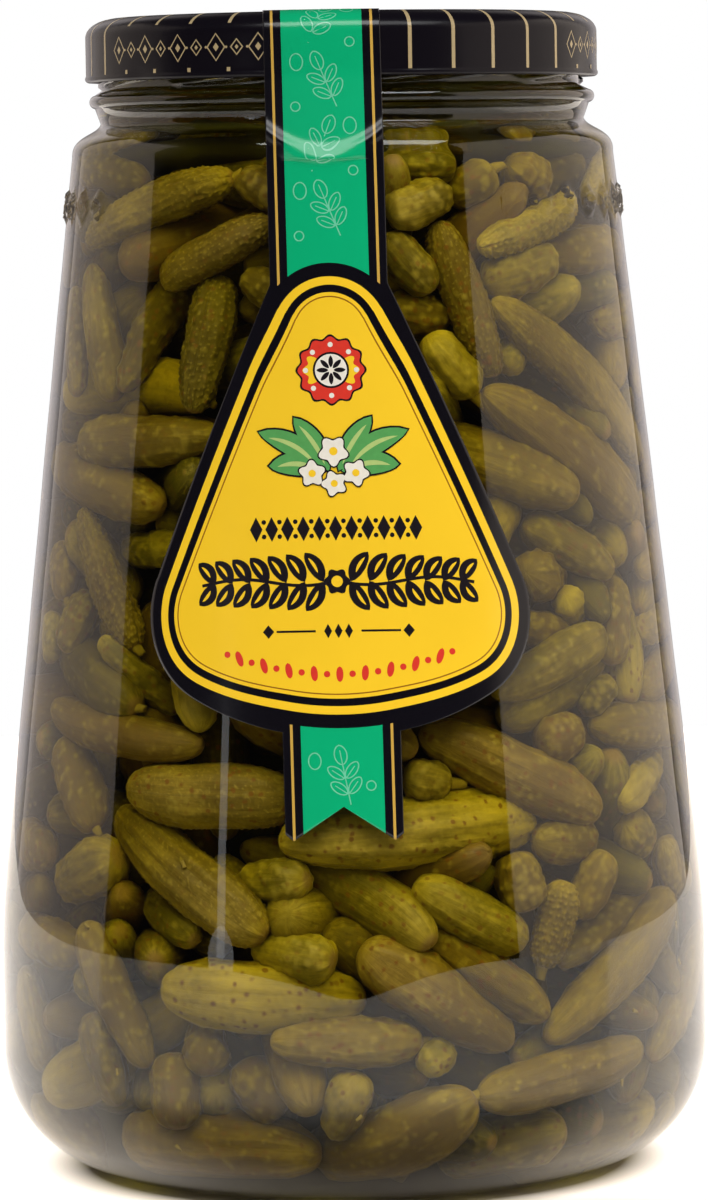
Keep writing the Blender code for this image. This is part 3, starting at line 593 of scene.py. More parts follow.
# The place behind the glass, at a depth from its inner wall, that shows at pixels (x, y) of the photo: the
# camera's ray, bent once by the sine rule
def seenThrough(x, y, depth):
    roll, pitch = math.radians(stage["roll"]), math.radians(stage["pitch"])
    width, height = stage["photo"]
    lens = stage["lens"] / stage["sensor"] * height
    x, y = x - 0.5 * width, y - 0.5 * height
    across = (x * math.cos(roll) - y * math.sin(roll)) / lens
    down = (x * math.sin(roll) + y * math.cos(roll)) / lens
    c, s = math.cos(pitch), math.sin(pitch)
    way = unit(np.stack([across, c - down * s, -s - down * c], axis=1))
    place = rayReach(np.tile(stage["cameraPlace"], (len(x), 1)), way, lambda z: innerRadius(z) + jar["wall"])
    normal = unit(place * (1.0, 1.0, 0.0))
    straight = -(way * normal).sum(axis=1)[:, None]
    slower = 1.0 / brine["bend"]
    bent = np.sqrt(1.0 - slower**2 * (1.0 - straight**2))
    way = slower * way + (slower * straight - bent) * normal
    return rayReach(place, way, lambda z: innerRadius(z) - depth)


# Centre, axis, bend, half length, radius and bow of the gherkins that show, which follow the wall's curve
def seenPlaces():
    x0, y0, x1, y1, width, deeper = np.array(seenGherkins, float).T
    radius = 0.5 * width * pixel
    depth = radius + heap["clear"] + deeper * mm
    start, end = seenThrough(x0, y0, depth), seenThrough(x1, y1, depth)
    axis, middle = unit(end - start), 0.5 * (start + end)
    half = np.minimum(0.5 * np.linalg.norm(end - start, axis=1), heap["longestHalf"])
    half = np.maximum(half, 1.15 * radius)
    away = np.linalg.norm(middle[:, :2], axis=1)
    radial = np.stack([middle[:, 0] / away, middle[:, 1] / away, 0.0 * away], axis=1)
    bow = np.maximum(innerRadius(middle[:, 2]) - depth - away, 0.0)
    centre = middle + 0.5 * bow[:, None] * radial
    bend = squareTo(axis, radial)
    return centre, axis, bend, half, radius, bow


# The same for the rest, drawn evenly through the layer, and deeper at the front than the ones that show
def drawnPlaces(rng):
    drawn = heap["count"] - len(seenGherkins)
    radius = rng.uniform(heap["thin"], heap["thick"], drawn)
    half = np.minimum(radius * rng.uniform(heap["shortShare"], heap["longShare"], drawn), heap["longestHalf"])
    bow = radius * rng.uniform(0.0, 0.75, drawn)
    height = rng.uniform(heap["floor"] + heap["thick"], heap["top"] - heap["thick"], 8 * drawn)
    height = height[rng.uniform(0.0, 1.0, 8 * drawn) < innerRadius(height) / jar["bodyRadius"]][:drawn]
    turn = rng.uniform(-math.pi, math.pi, drawn)
    depth = heap["thick"] + rng.uniform(0.0, 1.0, drawn) ** 1.1 * (heap["layer"] - 1.3 * heap["thick"])
    depth = np.where(np.abs(turn) < heap["frontSector"], np.maximum(depth, heap["frontDepth"]), depth)
    away = innerRadius(height) - depth
    centre = turnedTo(away, turn, height)
    axis = unit(rng.normal(size=(drawn, 3)) * (1.0, 1.0, 0.75))
    bend = squareTo(axis, rng.normal(size=(drawn, 3)))
    return centre, axis, bend, half, radius, bow


# Pairs of balls of different gherkins that are near enough to meet within the next few rounds
def nearPairs(points, radii, owner):
    squares = (points**2).sum(axis=1)
    apart = squares[:, None] + squares[None] - 2.0 * points @ points.T
    first, second = np.nonzero(np.triu(apart < (radii[:, None] + radii[None] + 5.0 * mm) ** 2, 1))
    different = owner[first] != owner[second]
    return first[different], second[different]


# How far each ball has to move to lie inside the glass, over the floor and outside the middle
def wallPushes(points, radii):
    away = np.hypot(points[:, 0], points[:, 1]) + 1e-9
    inner = innerRadius(points[:, 2])
    inwards = np.maximum(away - (inner - radii - heap["clear"]), 0.0)
    outwards = np.maximum(inner - heap["layer"] + 0.4 * radii - away, 0.0)
    push = np.zeros_like(points)
    push[:, :2] = points[:, :2] * ((0.5 * outwards - inwards) / away)[:, None]
    push[:, 2] = np.maximum(heap["floor"] + radii - points[:, 2], 0.0)
    push[:, 2] -= np.maximum(points[:, 2] - (heap["top"] - radii), 0.0)
    return push


# Moves overlapping gherkins apart, a little in each round, while they grow to full size
def packGherkins():
    rng = np.random.default_rng(heap["seed"])
    places = [np.concatenate(pair) for pair in zip(seenPlaces(), drawnPlaces(rng))]
    centre, axis, bend, half, radius, bow = places
    home, listed, count = centre.copy(), len(seenGherkins), len(centre)
    owner = np.repeat(np.arange(count), len(stations))
    radii = (radius[:, None] * balls).ravel()

    def summed(index, values):
        return np.stack([np.bincount(index, values[:, k], count) for k in range(3)], axis=1)

    for step in range(heap["rounds"]):
        grown = min(1.0, 0.6 + 0.4 * step / (0.5 * heap["rounds"])) * radii
        points = centre[:, None] + (stations * half[:, None])[:, :, None] * axis[:, None]
        points += (bow[:, None] * (0.5 - stations**2))[:, :, None] * bend[:, None]
        points = points.reshape(-1, 3)
        if step % 8 == 0:
            first, second = nearPairs(points, radii, owner)
        between = points[first] - points[second]
        distance = np.linalg.norm(between, axis=1) + 1e-9
        short = np.maximum(grown[first] + grown[second] - distance, 0.0)
        touch = short > 0.0
        part = 0.5 * between[touch] * (short[touch] / distance[touch])[:, None]
        walls = wallPushes(points, grown)
        atWall = np.nonzero(np.abs(walls).sum(axis=1) > 0.0)[0]
        ball = np.concatenate([first[touch], second[touch], atWall])
        push = np.concatenate([part, -part, walls[atWall]])
        which = owner[ball]
        lever = points[ball] - centre[which]
        stiff = np.bincount(which, (lever**2).sum(axis=1), count) + (0.25 * half) ** 2
        contacts = np.bincount(which, minlength=count)
        slow = np.ones(count)
        slow[:listed] = 0.25
        centre += slow[:, None] * summed(which, push) / np.maximum(1.0, 0.6 * contacts)[:, None]
        centre[:listed] += 0.04 * (home[:listed] - centre[:listed])
        twist = slow[:, None] * summed(which, np.cross(lever, push)) / stiff[:, None]
        axis = unit(axis + np.cross(twist, axis))
        bend = squareTo(axis, bend + np.cross(twist, bend))
    return centre, axis, bend, half, radius, bow


# For share t along (-1 to 1), the middle line is c + t h a + bow (1/2 - t^2) b, and the radius is
# R w(t) (1 + lobes + ribs + neck) + warts, with w = 1.02 (1 - |t|^3.2)^0.45 and a slight taper
def gherkinSurfaces(places, rows, columns, rng, warts, pimply):
    centre, axis, bend, half, radius, bow = places
    count = len(centre)
    t = -np.cos(math.pi * (np.arange(rows) + 0.45) / (rows - 0.1))
    turn = np.linspace(0.0, 2.0 * math.pi, columns, endpoint=False)
    taper = rng.uniform(-0.16, 0.16, count)
    width = 1.02 * (1.0 - np.abs(t) ** 3.2) ** 0.45
    width = width[None] * (1.0 + taper[:, None] * t[None])
    draws = rng.uniform(0.0, 2.0 * math.pi, (count, 8))
    size = rng.uniform(0.0, 1.0, (count, 4))
    a, b = t[None, :, None], turn[None, None, :]

    thick, long = radius[:, None, None], half[:, None, None]

    def d(k):
        return draws[:, k, None, None]

    lobes = (0.02 + 0.035 * size[:, 0, None, None]) * np.cos(3.0 * b + d(0) + 0.5 * a)
    lobes = lobes + 0.02 * np.sin(2.0 * b + d(1) + 2.0 * a) + 0.04 * np.sin(5.5 * a + d(2)) * np.cos(b + d(3))
    lobes = lobes + 0.018 * np.sin(11.0 * a + d(5)) * np.cos(2.0 * b + d(6))
    ribs = 0.008 + 0.045 * size[:, 1, None, None] ** 2
    ribs = ribs * np.cos(11.0 * b + d(4) + 0.8 * np.sin(3.0 * a + d(5)))
    neck = 0.05 * np.cos(7.0 * b + d(6)) * np.abs(a) ** 5
    swell = np.zeros((count, rows, columns))
    for k in range(warts):
        wartT = rng.uniform(-0.93, 0.93, (count, 1, 1))
        wartTurn = rng.uniform(0.0, 2.0 * math.pi, (count, 1, 1))
        spread = rng.uniform(0.7, 1.3, (count, 1, 1)) * mm
        acrossWart = np.angle(np.exp(1j * (b - wartTurn))) * thick
        alongWart = (a - wartT) * long
        swell = np.maximum(swell, np.exp(-(acrossWart**2 + alongWart**2) / spread**2))
    wartRise = (0.15 + 0.4 * size[:, 2, None, None]) * mm
    reach = thick * width[:, :, None] * (1.0 + lobes + ribs + neck)
    fade = smoothStep(0.0, 0.4, width)[:, :, None]
    if pimply:
        swell = pimples(a, b, half, radius, rng)
        wartRise = (0.32 + 0.25 * size[:, 2, None, None]) * mm
        fade = fade * (0.35 + 0.65 * smoothStep(-0.9, 0.3, np.cos(b + d(7)) + 0.6 * a))
    reach = reach + wartRise * swell * fade
    middle = centre[:, None] + (t * half[:, None])[:, :, None] * axis[:, None]
    middle = middle + (bow[:, None] * (0.5 - t**2))[:, :, None] * bend[:, None]
    tangent = unit(long * axis[:, None] - (2.0 * bow[:, None] * t)[:, :, None] * bend[:, None])
    inPlane = squareTo(tangent, bend[:, None])
    side = np.cross(tangent, inPlane)
    cosines, sines = np.cos(turn)[None, None, :, None], np.sin(turn)[None, None, :, None]
    ringWay = cosines * inPlane[:, :, None] + sines * side[:, :, None]
    rings = middle[:, :, None] + reach[..., None] * ringWay
    ends = [centre + s * 0.985 * half[:, None] * axis - 0.47 * bow[:, None] * bend for s in (-1.0, 1.0)]
    points = np.concatenate([ends[0][:, None], rings.reshape(count, -1, 3), ends[1][:, None]], axis=1)
    across, along = np.broadcast_arrays(turn[None, None] * thick, a * long)
    flat = np.stack([across, along], axis=-1).reshape(count, -1, 2)
    tip = np.stack([0.0 * half, half], axis=-1)[:, None]
    flat = np.concatenate([-tip, flat, tip], axis=1)
    warted = np.concatenate([np.zeros((count, 1)), swell.reshape(count, -1), np.zeros((count, 1))], axis=1)
    share = np.concatenate([[-1.0], np.repeat(t, columns), [1.0]])[None] + np.zeros((count, 1))
    return points, flat, warted, share


# Small pimples on a shaken grid of cells round and along: 1 - (d / s)^2, d from the nearest cell's middle
def pimples(a, b, half, radius, rng):
    step = heap["pimpleStep"]
    cells = np.round(2.0 * math.pi * radius / step)[:, None, None]
    u = b / (2.0 * math.pi) * cells + 0.0 * a
    v = a * half[:, None, None] / step + 0.0 * b + 100.0
    salt = rng.uniform(0.0, 90.0, len(half))[:, None, None]
    nearest = np.full(np.broadcast(u, v).shape, 9.0)
    for du in (-1, 0, 1):
        for dv in (-1, 0, 1):
            i, j = np.floor(u) + du, np.floor(v) + dv
            key = np.mod(i, cells) * 12.9898 + j * 78.233 + salt
            shiftU, shiftV = np.mod(np.sin(key) * 43758.5, 1.0), np.mod(np.sin(key + 3.7) * 24634.6, 1.0)
            away = (u - i - 0.15 - 0.7 * shiftU) ** 2 + (v - j - 0.15 - 0.7 * shiftV) ** 2
            nearest = np.minimum(nearest, away)
    return np.maximum(1.0 - nearest / 0.42**2, 0.0)


# Nothing pokes through the glass or the floor: the radius is held to that of the inside less a small gap
def pressInside(points):
    points[..., 2] = np.clip(points[..., 2], heap["floor"] - 0.8 * mm, heap["crown"] + 1.5 * mm)
    away = np.hypot(points[..., 0], points[..., 1]) + 1e-9
    limit = innerRadius(points[..., 2]) - heap["press"]
    points[..., :2] *= np.minimum(1.0, limit / away)[..., None]
    return points


# Many closed tubes in one mesh, each with a pole point first, `rows` rings and a pole point last
def tubePiece(name, points, rows, columns):
    count, each = points.shape[:2]
    quads = gridQuads(rows, columns, wrap=True, first=1)
    last = 1 + (rows - 1) * columns
    fans = np.concatenate([poleFan(0, 1, columns), poleFan(each - 1, last, columns, flip=True)])
    first = (np.arange(count) * each)[:, None, None]
    return buildMesh(name, points, (quads[None] + first).reshape(-1, 4), (fans[None] + first).reshape(-1, 3))


# What replaces the heap's solid
def inHeap(piece, material):
    piece.data.materials.append(material)
    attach(piece, "root")
    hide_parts("gherkins")


def gherkinPiece(name, places, rows, columns, tones, rng, warts, material, pimply=False):
    points, flat, warted, share = gherkinSurfaces(places, rows, columns, rng, warts, pimply)
    piece = tubePiece(name, pressInside(points), rows, columns)
    tone = np.repeat(tones[:, None, :], points.shape[1], axis=1)
    skin = np.concatenate([tone, 0.5 + 0.5 * share[..., None], warted[..., None]], axis=-1)
    addAttribute(piece, "skin", "FLOAT_COLOR", "color", skin)
    addUv(piece, "flat", flat.reshape(-1, 2) * 10.0)
    inHeap(piece, material)
    print(name + ":", len(points), "gherkins,", len(piece.data.polygons), "faces")


skinLook = {
    "dark": (0.030, 0.023, 0.001), "mid": (0.100, 0.074, 0.003), "bright": (0.36, 0.255, 0.022),
    "brown": (0.175, 0.084, 0.026), "speck": (0.34, 0.25, 0.035), "scar": (0.20, 0.115, 0.035),
    "rust": (0.135, 0.055, 0.008), "rough": 0.4, "mirror": 0.06,
    "patches": (70.0, 3.0, 0.6), "streaks": (60.0, 3.0, 0.6), "fine": (900.0, 3.0, 0.6),  # noise per metre
    "patchShare": 0.85, "streakShare": 0.55, "fineShare": 0.3, "tipShare": 0.2, "stretch": (1.0, 0.16, 1.0),
    "pimplesPerMetre": 470.0, "marksPerMetre": 500.0,
    "stem": (0.16, 0.105, 0.012), "paleStem": (0.30, 0.21, 0.04), "stemRough": 0.5,
}


# Skin: a tone of its own for each gherkin, streaks along it, pale pimples, rust spots, paler ends and a brown
# scar at one of them
def skinMaterial():
    material, tree, shader = newMaterial("gherkin skin")
    skin = addNode(tree, "ShaderNodeAttribute", attribute_name="skin")
    parts = addNode(tree, "ShaderNodeSeparateColor", {0: skin.outputs["Color"]})
    tone, hue, share = parts.outputs[0], parts.outputs[1], parts.outputs[2]
    wart = skin.outputs["Alpha"]
    own = calc(tree, "FRACT", times(tree, tone, 41.0))
    place = objectPlace(tree)
    flat = addNode(tree, "ShaderNodeUVMap", uv_map="flat").outputs[0]
    stretched = addNode(tree, "ShaderNodeMapping", {"Vector": flat, "Scale": skinLook["stretch"]}).outputs[0]
    patches = noise(tree, place, *skinLook["patches"])
    streaks = noise(tree, stretched, *skinLook["streaks"])
    fine = noise(tree, place, *skinLook["fine"])

    def around(value, amount):
        return times(tree, calc(tree, "SUBTRACT", value, 0.5), amount)

    mixed = calc(tree, "ADD", tone, around(patches, skinLook["patchShare"]))
    mixed = calc(tree, "ADD", mixed, around(streaks, skinLook["streakShare"]))
    mixed = calc(tree, "ADD", mixed, around(fine, skinLook["fineShare"]))
    tip = calc(tree, "POWER", calc(tree, "ABSOLUTE", around(share, 2.0)), 4.0)
    mixed = calc(tree, "ADD", mixed, times(tree, tip, skinLook["tipShare"]))
    colour = ramp(tree, mixed, [(0.1, skinLook["dark"]), (0.45, skinLook["mid"]), (0.95, skinLook["bright"])])
    browner = mixColours(tree, 0.55, colour, skinLook["brown"])
    colour = mixColours(tree, times(tree, hue, 0.75), colour, browner)
    cells = addNode(tree, "ShaderNodeTexVoronoi", {"Vector": place, "Scale": skinLook["pimplesPerMetre"]})
    pimple = remap(tree, cells.outputs["Distance"], 0.10, 0.46, 1.0, 0.0, "SMOOTHSTEP")
    patchy = remap(tree, noise(tree, place, 190.0, 3.0), 0.46, 0.66)
    specks = times(tree, times(tree, pimple, patchy), 0.45)
    specks = calc(tree, "MAXIMUM", specks, times(tree, remap(tree, wart, 0.5, 0.95), 0.38))
    colour = mixColours(tree, specks, colour, skinLook["speck"])
    marks = addNode(tree, "ShaderNodeTexVoronoi", {"Vector": place, "Scale": skinLook["marksPerMetre"]})
    chance = addNode(tree, "ShaderNodeSeparateColor", {0: marks.outputs["Color"]}).outputs[0]
    edge = calc(tree, "ADD", marks.outputs["Distance"], around(fine, 0.35))
    spots = times(tree, remap(tree, edge, 0.19, 0.34, 1.0, 0.0), remap(tree, chance, 0.25, 0.45))
    spots = times(tree, spots, remap(tree, own, 0.2, 0.7, 0.2, 0.88))
    colour = mixColours(tree, spots, colour, skinLook["rust"])
    scar = remap(tree, share, 0.972, 0.992)
    colour = mixColours(tree, times(tree, scar, 0.8), colour, skinLook["scar"])
    rough = bump(tree, times(tree, pimple, patchy), 0.0003, 0.45)
    setInputs(tree, shader, {
        "Base Color": colour, "Roughness": skinLook["rough"], "Specular IOR Level": skinLook["mirror"],
        "Normal": bump(tree, streaks, 0.0008, 0.4, rough),
    })
    return material


# The kinds: name, share of all, middle lightness and brownness
kinds = [
    ("gherkinsOlive", 0.40, 0.36, 0.25),
    ("gherkinsBrown", 0.32, 0.36, 0.85),
    ("gherkinsPale", 0.28, 0.60, 0.15),
]

# Lightness and brownness of the gherkins that show, and those of them with pimply skin
seenTones = [
    (0.48, 0.5), (0.36, 0.6), (0.44, 0.45), (0.36, 0.4), (0.3, 0.25), (0.36, 0.6), (0.38, 0.75), (0.36, 0.6),
    (0.42, 0.5), (0.36, 0.4), (0.38, 0.5), (0.34, 0.6), (0.38, 0.5), (0.5, 0), (0.34, 0.9), (0.42, 0.1),
    (0.5, 0.1), (0.56, 0.3), (0.34, 0.6), (0.46, 0.3), (0.42, 0.1), (0.4, 0.6), (0.4, 0.8), (0.52, 0.3),
    (0.4, 0.3), (0.32, 0.6), (0.58, 0.3), (0.44, 0.7), (0.6, 0.1), (0.48, 0.6), (0.46, 0.6), (0.6, 0.1),
    (0.42, 0.8), (0.42, 0.6), (0.42, 0.7), (0.42, 0.9), (0.46, 0.4), (0.36, 0.7), (0.62, 0.05), (0.44, 0.6),
    (0.46, 0.5), (0.32, 0.8), (0.46, 0.3), (0.44, 0.7), (0.44, 0.3), (0.42, 0.9), (0.54, 0.6), (0.46, 0.6),
    (0.54, 0.4), (0.36, 0.8), (0.44, 0.8), (0.42, 0.75), (0.6, 0.05), (0.4, 0.1), (0.58, 0.05), (0.74, 0.35),
    (0.52, 0.75), (0.58, 0.45), (0.5, 0.9), (0.42, 0.8), (0.54, 0.05), (0.72, 0.15), (0.48, 0.85), (0.5, 0.3),
    (0.36, 0.95), (0.48, 0.6), (0.56, 0.2), (0.42, 0.6), (0.5, 0.4), (0.46, 0.7), (0.46, 0.6), (0.42, 0.8),
    (0.5, 0.5), (0.44, 0.5), (0.48, 0.7), (0.48, 0.7), (0.5, 0.85), (0.46, 0.75), (0.52, 0.3), (0.44, 0.85),
    (0.44, 0.8), (0.4, 0.6), (0.46, 0.7), (0.34, 0.9), (0.6, 0.1), (0.48, 0.6), (0.36, 0.8), (0.46, 0.5),
    (0.4, 0.8), (0.48, 0.3),
]
pimplyOnes = [0, 1, 4, 7, 17, 18, 23, 29, 46, 47, 61, 70]


# A ring of gherkins in the neck, a little away from the glass
def neckPlaces(rng):
    count = heap["neckCount"]
    turn = 2.0 * math.pi * (np.arange(count) + rng.uniform(-0.25, 0.25, count)) / count
    radius, half = rng.uniform(4.4, 5.4, count) * mm, rng.uniform(10.0, 16.0, count) * mm
    height, tilt = rng.uniform(207.0, 214.5, count) * mm, rng.uniform(-0.25, 0.25, count)
    radial = turnedTo(1.0, turn, 0.0 * turn)
    along = np.stack([np.cos(turn), np.sin(turn), 0.0 * turn], axis=1)
    away = innerRadius(height) - radius - heap["neckDepth"]
    bow = (half * np.cos(tilt)) ** 2 / (2.0 * away)
    centre = radial * (away - 0.5 * bow)[:, None]
    centre[:, 2] = height
    axis = unit(along * np.cos(tilt)[:, None] + np.array([0.0, 0.0, 1.0]) * np.sin(tilt)[:, None])
    bend = squareTo(axis, radial)
    return centre, axis, bend, half, radius, bow


def makeGherkins():
    neck = neckPlaces(np.random.default_rng(heap["seed"] + 2))
    places = [np.concatenate(pair) for pair in zip(packGherkins(), neck)]
    centre, radius = places[0], places[4]
    depth = innerRadius(centre[:, 2]) - np.hypot(centre[:, 0], centre[:, 1]) - radius
    atBase = centre[:, 2] < heap["floor"] + 14.0 * mm
    near = (depth < heap["nearDepth"]) | atBase | (centre[:, 2] > heap["top"])
    rng = np.random.default_rng(heap["seed"] + 1)
    count, listed = len(centre), len(seenGherkins)
    kind = rng.choice(len(kinds), count, p=[share for _, share, _, _ in kinds])
    middle = np.array([(light, brown) for _, _, light, brown in kinds])[kind]
    tones = np.clip(rng.normal(middle, (0.12, 0.18)), (0.05, 0.0), (0.9, 1.0))
    tones[:listed] = seenTones + rng.uniform(-0.015, 0.015, (listed, 2))
    # Painted shade: the gherkins away from the glass keep only 0.7 of their lightness
    tones[~near] *= (0.7, 1.0)
    # Painted shade under the lid: the neck's gherkins keep only neckShade of their lightness
    tones[-heap["neckCount"]:] *= (heap["neckShade"], 1.0)
    pimply = np.isin(np.arange(count), pimplyOnes)
    material = skinMaterial()

    def pieceOf(name, chosen, rows, columns, warts):
        some = [values[chosen] for values in places]
        gherkinPiece(name, some, rows, columns, tones[chosen], rng, warts, material, warts == 0)

    pieceOf("gherkinsPimply", pimply, 104, 72, 0)
    seen = (np.arange(count) < listed) & ~pimply
    shade = np.digitize(tones[:, 1], [0.5, 0.7])
    for k, name in enumerate(["gherkinsFine", "gherkinsFineTan", "gherkinsFineBrown"]):
        pieceOf(name, seen & (shade == k), 58, 42, heap["fineWarts"])
    for k, (name, _, _, _) in enumerate(kinds):
        pieceOf(name, near & (kind == k) & ~pimply & ~seen, 34, 26, heap["warts"])
    pieceOf("gherkinsInside", ~near & ~pimply, 14, 12, 8)
    makeScraps(places, near, rng)


# Small round tubes: the middle line is a + u L w + bend u^2 s, and the radius goes from r0 to r1 with u
def tubePoints(start, way, side, length, bendBy, thick, thin, rows, columns):
    u = np.linspace(0.0, 1.0, rows)[None, :, None]
    turn = np.linspace(0.0, 2.0 * math.pi, columns, endpoint=False)
    other = np.cross(way, side)
    middle = start[:, None] + u * (length[:, None] * way)[:, None] + u**2 * (bendBy[:, None] * side)[:, None]
    ring = np.cos(turn)[None, :, None] * side[:, None] + np.sin(turn)[None, :, None] * other[:, None]
    reach = (thick[:, None] * (1.0 - u[..., 0]) + thin[:, None] * u[..., 0])[:, :, None, None]
    rings = middle[:, :, None] + reach * ring[:, None]
    points = [middle[:, :1], rings.reshape(len(start), -1, 3), middle[:, -1:]]
    return np.concatenate(points, axis=1)


# Stubs of stems on some gherkins, and seeds at the glass
def makeScraps(places, near, rng):
    centre, axis, bend, half, radius, bow = places
    some = np.nonzero(near)[0][::7]
    way = unit(half[some, None] * axis[some] - 2.0 * bow[some, None] * bend[some])
    start = centre[some] + 0.95 * half[some, None] * axis[some] - 0.4 * bow[some, None] * bend[some]
    seeds, stubs = 26, len(some)
    height = (13.0 + 60.0 * rng.uniform(0.0, 1.0, seeds) ** 2.2) * mm
    around = rng.uniform(0.0, 2.0 * math.pi, seeds)
    away = innerRadius(height) - 0.9 * mm
    start = np.concatenate([start, turnedTo(away, around, height)])
    radial = turnedTo(1.0, around, 0.0 * around)
    way = np.concatenate([way, squareTo(radial, rng.normal(size=(seeds, 3)))])
    side = squareTo(way, rng.normal(size=way.shape))
    isStub = np.arange(stubs + seeds) < stubs
    length = np.where(isStub, rng.uniform(2.0, 3.6, stubs + seeds), 1.4) * mm
    bendBy = np.where(isStub, rng.uniform(-0.8, 1.0, stubs + seeds), 0.0) * mm
    thick = np.where(isStub, rng.uniform(1.0, 1.5, stubs + seeds), 0.45) * mm
    points = pressInside(tubePoints(start, way, side, length, bendBy, thick, 0.65 * thick, 7, 10))
    piece = tubePiece("scraps", points, 7, 10)
    material, tree, shader = newMaterial("stem")
    shade = noise(tree, objectPlace(tree), 400.0, 2.0)
    setInputs(tree, shader, {
        "Base Color": mixColours(tree, shade, skinLook["stem"], skinLook["paleStem"]),
        "Roughness": skinLook["stemRough"], "Specular IOR Level": skinLook["mirror"],
    })
    inHeap(piece, material)
    print("scraps:", len(points))


# A near-black piece, painted shade in the gaps of the heap, nearer the glass in the neck to darken it under
# the lid
shadeCore = {"depth": 21.0 * mm, "neckDepth": 7.0 * mm, "colour": (0.012, 0.009, 0.001)}


# The dark middle of the heap, which shows only between gherkins: a near-black piece as painted shade in the
# gaps
def makeCore():
    z = np.linspace(heap["floor"] + 2.0 * mm, heap["crown"], 52)
    # Closer to the glass in the neck, where its painted shade darkens the neck
    depth = shadeCore["depth"] + (shadeCore["neckDepth"] - shadeCore["depth"]) * smoothStep(198 * mm, 206 * mm, z)
    side = np.stack([innerRadius(z) - depth, z], axis=1)
    profile = np.concatenate([[[0.0, z[0]]], side, [[0.0, z[-1]]]])

    def lumps(r, h, t):
        return 1.6 * mm * np.sin(9.0 * t + 200.0 * h) * np.sin(420.0 * h + 4.0 * t)

    piece = turnedPiece("heapCore", profile, 120, lumps)
    material, tree, shader = newMaterial("heap shade")
    shade = noise(tree, objectPlace(tree), 120.0, 3.0)
    light = tuple(2.0 * c for c in shadeCore["colour"])
    setInputs(tree, shader, {"Base Color": mixColours(tree, shade, shadeCore["colour"], light), "Roughness": 0.6})
    inHeap(piece, material)
    print("core:", len(piece.data.polygons), "faces")


# The lid

lid = {
    "radius": 51.5 * mm, "low": 219.7 * mm, "sideTop": 228.7 * mm, "top": 232.5 * mm,
    "ridge": 45.0 * mm, "panel": 39.5 * mm, "drop": 1.2 * mm, "button": 12.0 * mm, "rise": 0.5 * mm,
    "sheet": 0.45 * mm, "steps": 360,
    "lugs": 6, "lugWidth": 7.0 * mm, "lugDepth": 0.35 * mm,
    "stripes": 36, "stripeWidth": 0.75 * mm,
    "windows": (-38.0, 82.0, 202.0), "windowHalf": 25.0,  # degrees
    "black": (0.0042, 0.0034, 0.0062), "gold": (0.44, 0.34, 0.18),
    "rough": 0.24, "mirror": 0.16,
}


# The round shoulder at angles from the side, as (r, z), and `out` further out than the lid
def lidShoulder(degrees, out=0.0):
    angle = np.radians(degrees)
    reach, rise = lid["radius"] - lid["ridge"] + out, lid["top"] - lid["sideTop"] + out
    return np.stack([lid["ridge"] + reach * np.cos(angle), lid["sideTop"] + rise * np.sin(angle)], axis=1)


# The outer skin from the middle out: button, panel, ridge, round shoulder, side and a small rolled edge
def lidSkin():
    panel = lid["top"] - lid["drop"]
    r = np.concatenate([[0.0], np.linspace(2 * mm, lid["ridge"], 60)])
    button = lid["rise"] * smoothStep(lid["button"] + 1.6 * mm, lid["button"] - 0.4 * mm, r)
    wall = lid["drop"] * smoothStep(lid["panel"] - 0.4 * mm, lid["panel"] + 2.8 * mm, r)
    top = np.stack([r, panel + button + wall], axis=1)
    z = np.linspace(lid["sideTop"], lid["low"] + 1.5 * mm, 10)[1:]
    side = np.stack([lid["radius"] + 0.0 * z, z], axis=1)
    roll = arc(lid["radius"] - 0.55 * mm, lid["low"] + 0.75 * mm, 0.75 * mm, 40, -100, 8)
    return np.concatenate([top, lidShoulder(np.linspace(90, 0, 16)[1:]), side, roll])


def makeLid():
    outer = lidSkin()
    way = unit(np.gradient(outer, axis=0))
    inner = outer + lid["sheet"] * np.stack([way[:, 1], -way[:, 0]], axis=1)
    inner = inner[: -8][::-1]
    inner[-1, 0] = 0.0
    profile = np.concatenate([outer, inner])

    def dents(r, z, t):
        lead = 2.0 * math.pi / lid["lugs"]
        place = (np.mod(t + 0.35, lead) - 0.5 * lead) * lid["radius"]
        low = smoothStep(lid["low"] + 3.2 * mm, lid["low"] + 0.4 * mm, z)
        return -lid["lugDepth"] * low * np.exp(-((place / (0.5 * lid["lugWidth"])) ** 2)) * (r > lid["ridge"])

    piece = turnedPiece("lidShell", profile, lid["steps"], dents)
    material, tree, shader = newMaterial("dark lacquer")
    place = objectPlace(tree)
    shade = noise(tree, place, 60.0, 3.0)
    warm = tuple(more * c for more, c in zip((1.35, 1.3, 1.1), lid["black"]))
    setInputs(tree, shader, {
        "Base Color": mixColours(tree, shade, lid["black"], warm),
        "Roughness": lid["rough"], "Specular IOR Level": lid["mirror"],
        "Normal": bump(tree, noise(tree, place, 700.0, 2.0), 0.00004, 0.5),
    })
    piece.data.materials.append(material)
    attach(piece, "root")
    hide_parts("lid")
    print("lid:", len(piece.data.polygons), "faces")


# Print: every printed shape is a small grid of flat points, which is then laid on the lid or the label

# A leaf from a to b: the middle line bows by `bow`, and the half width is w (4 u (1 - u))^p
def leaf(a, b, width, bow=0.0, power=0.75, steps=12):
    a, b = np.array(a, float), np.array(b, float)
    u = np.linspace(0.0, 1.0, steps)[:, None]
    way = b - a
    normal = np.array([-way[1], way[0]]) / max(np.hypot(*way), 1e-9)
    middle = a + u * way + 4.0 * bow * u * (1.0 - u) * normal
    half = 0.5 * width * (4.0 * u * (1.0 - u)) ** power
    return np.stack([middle - half * normal, middle, middle + half * normal], axis=1)


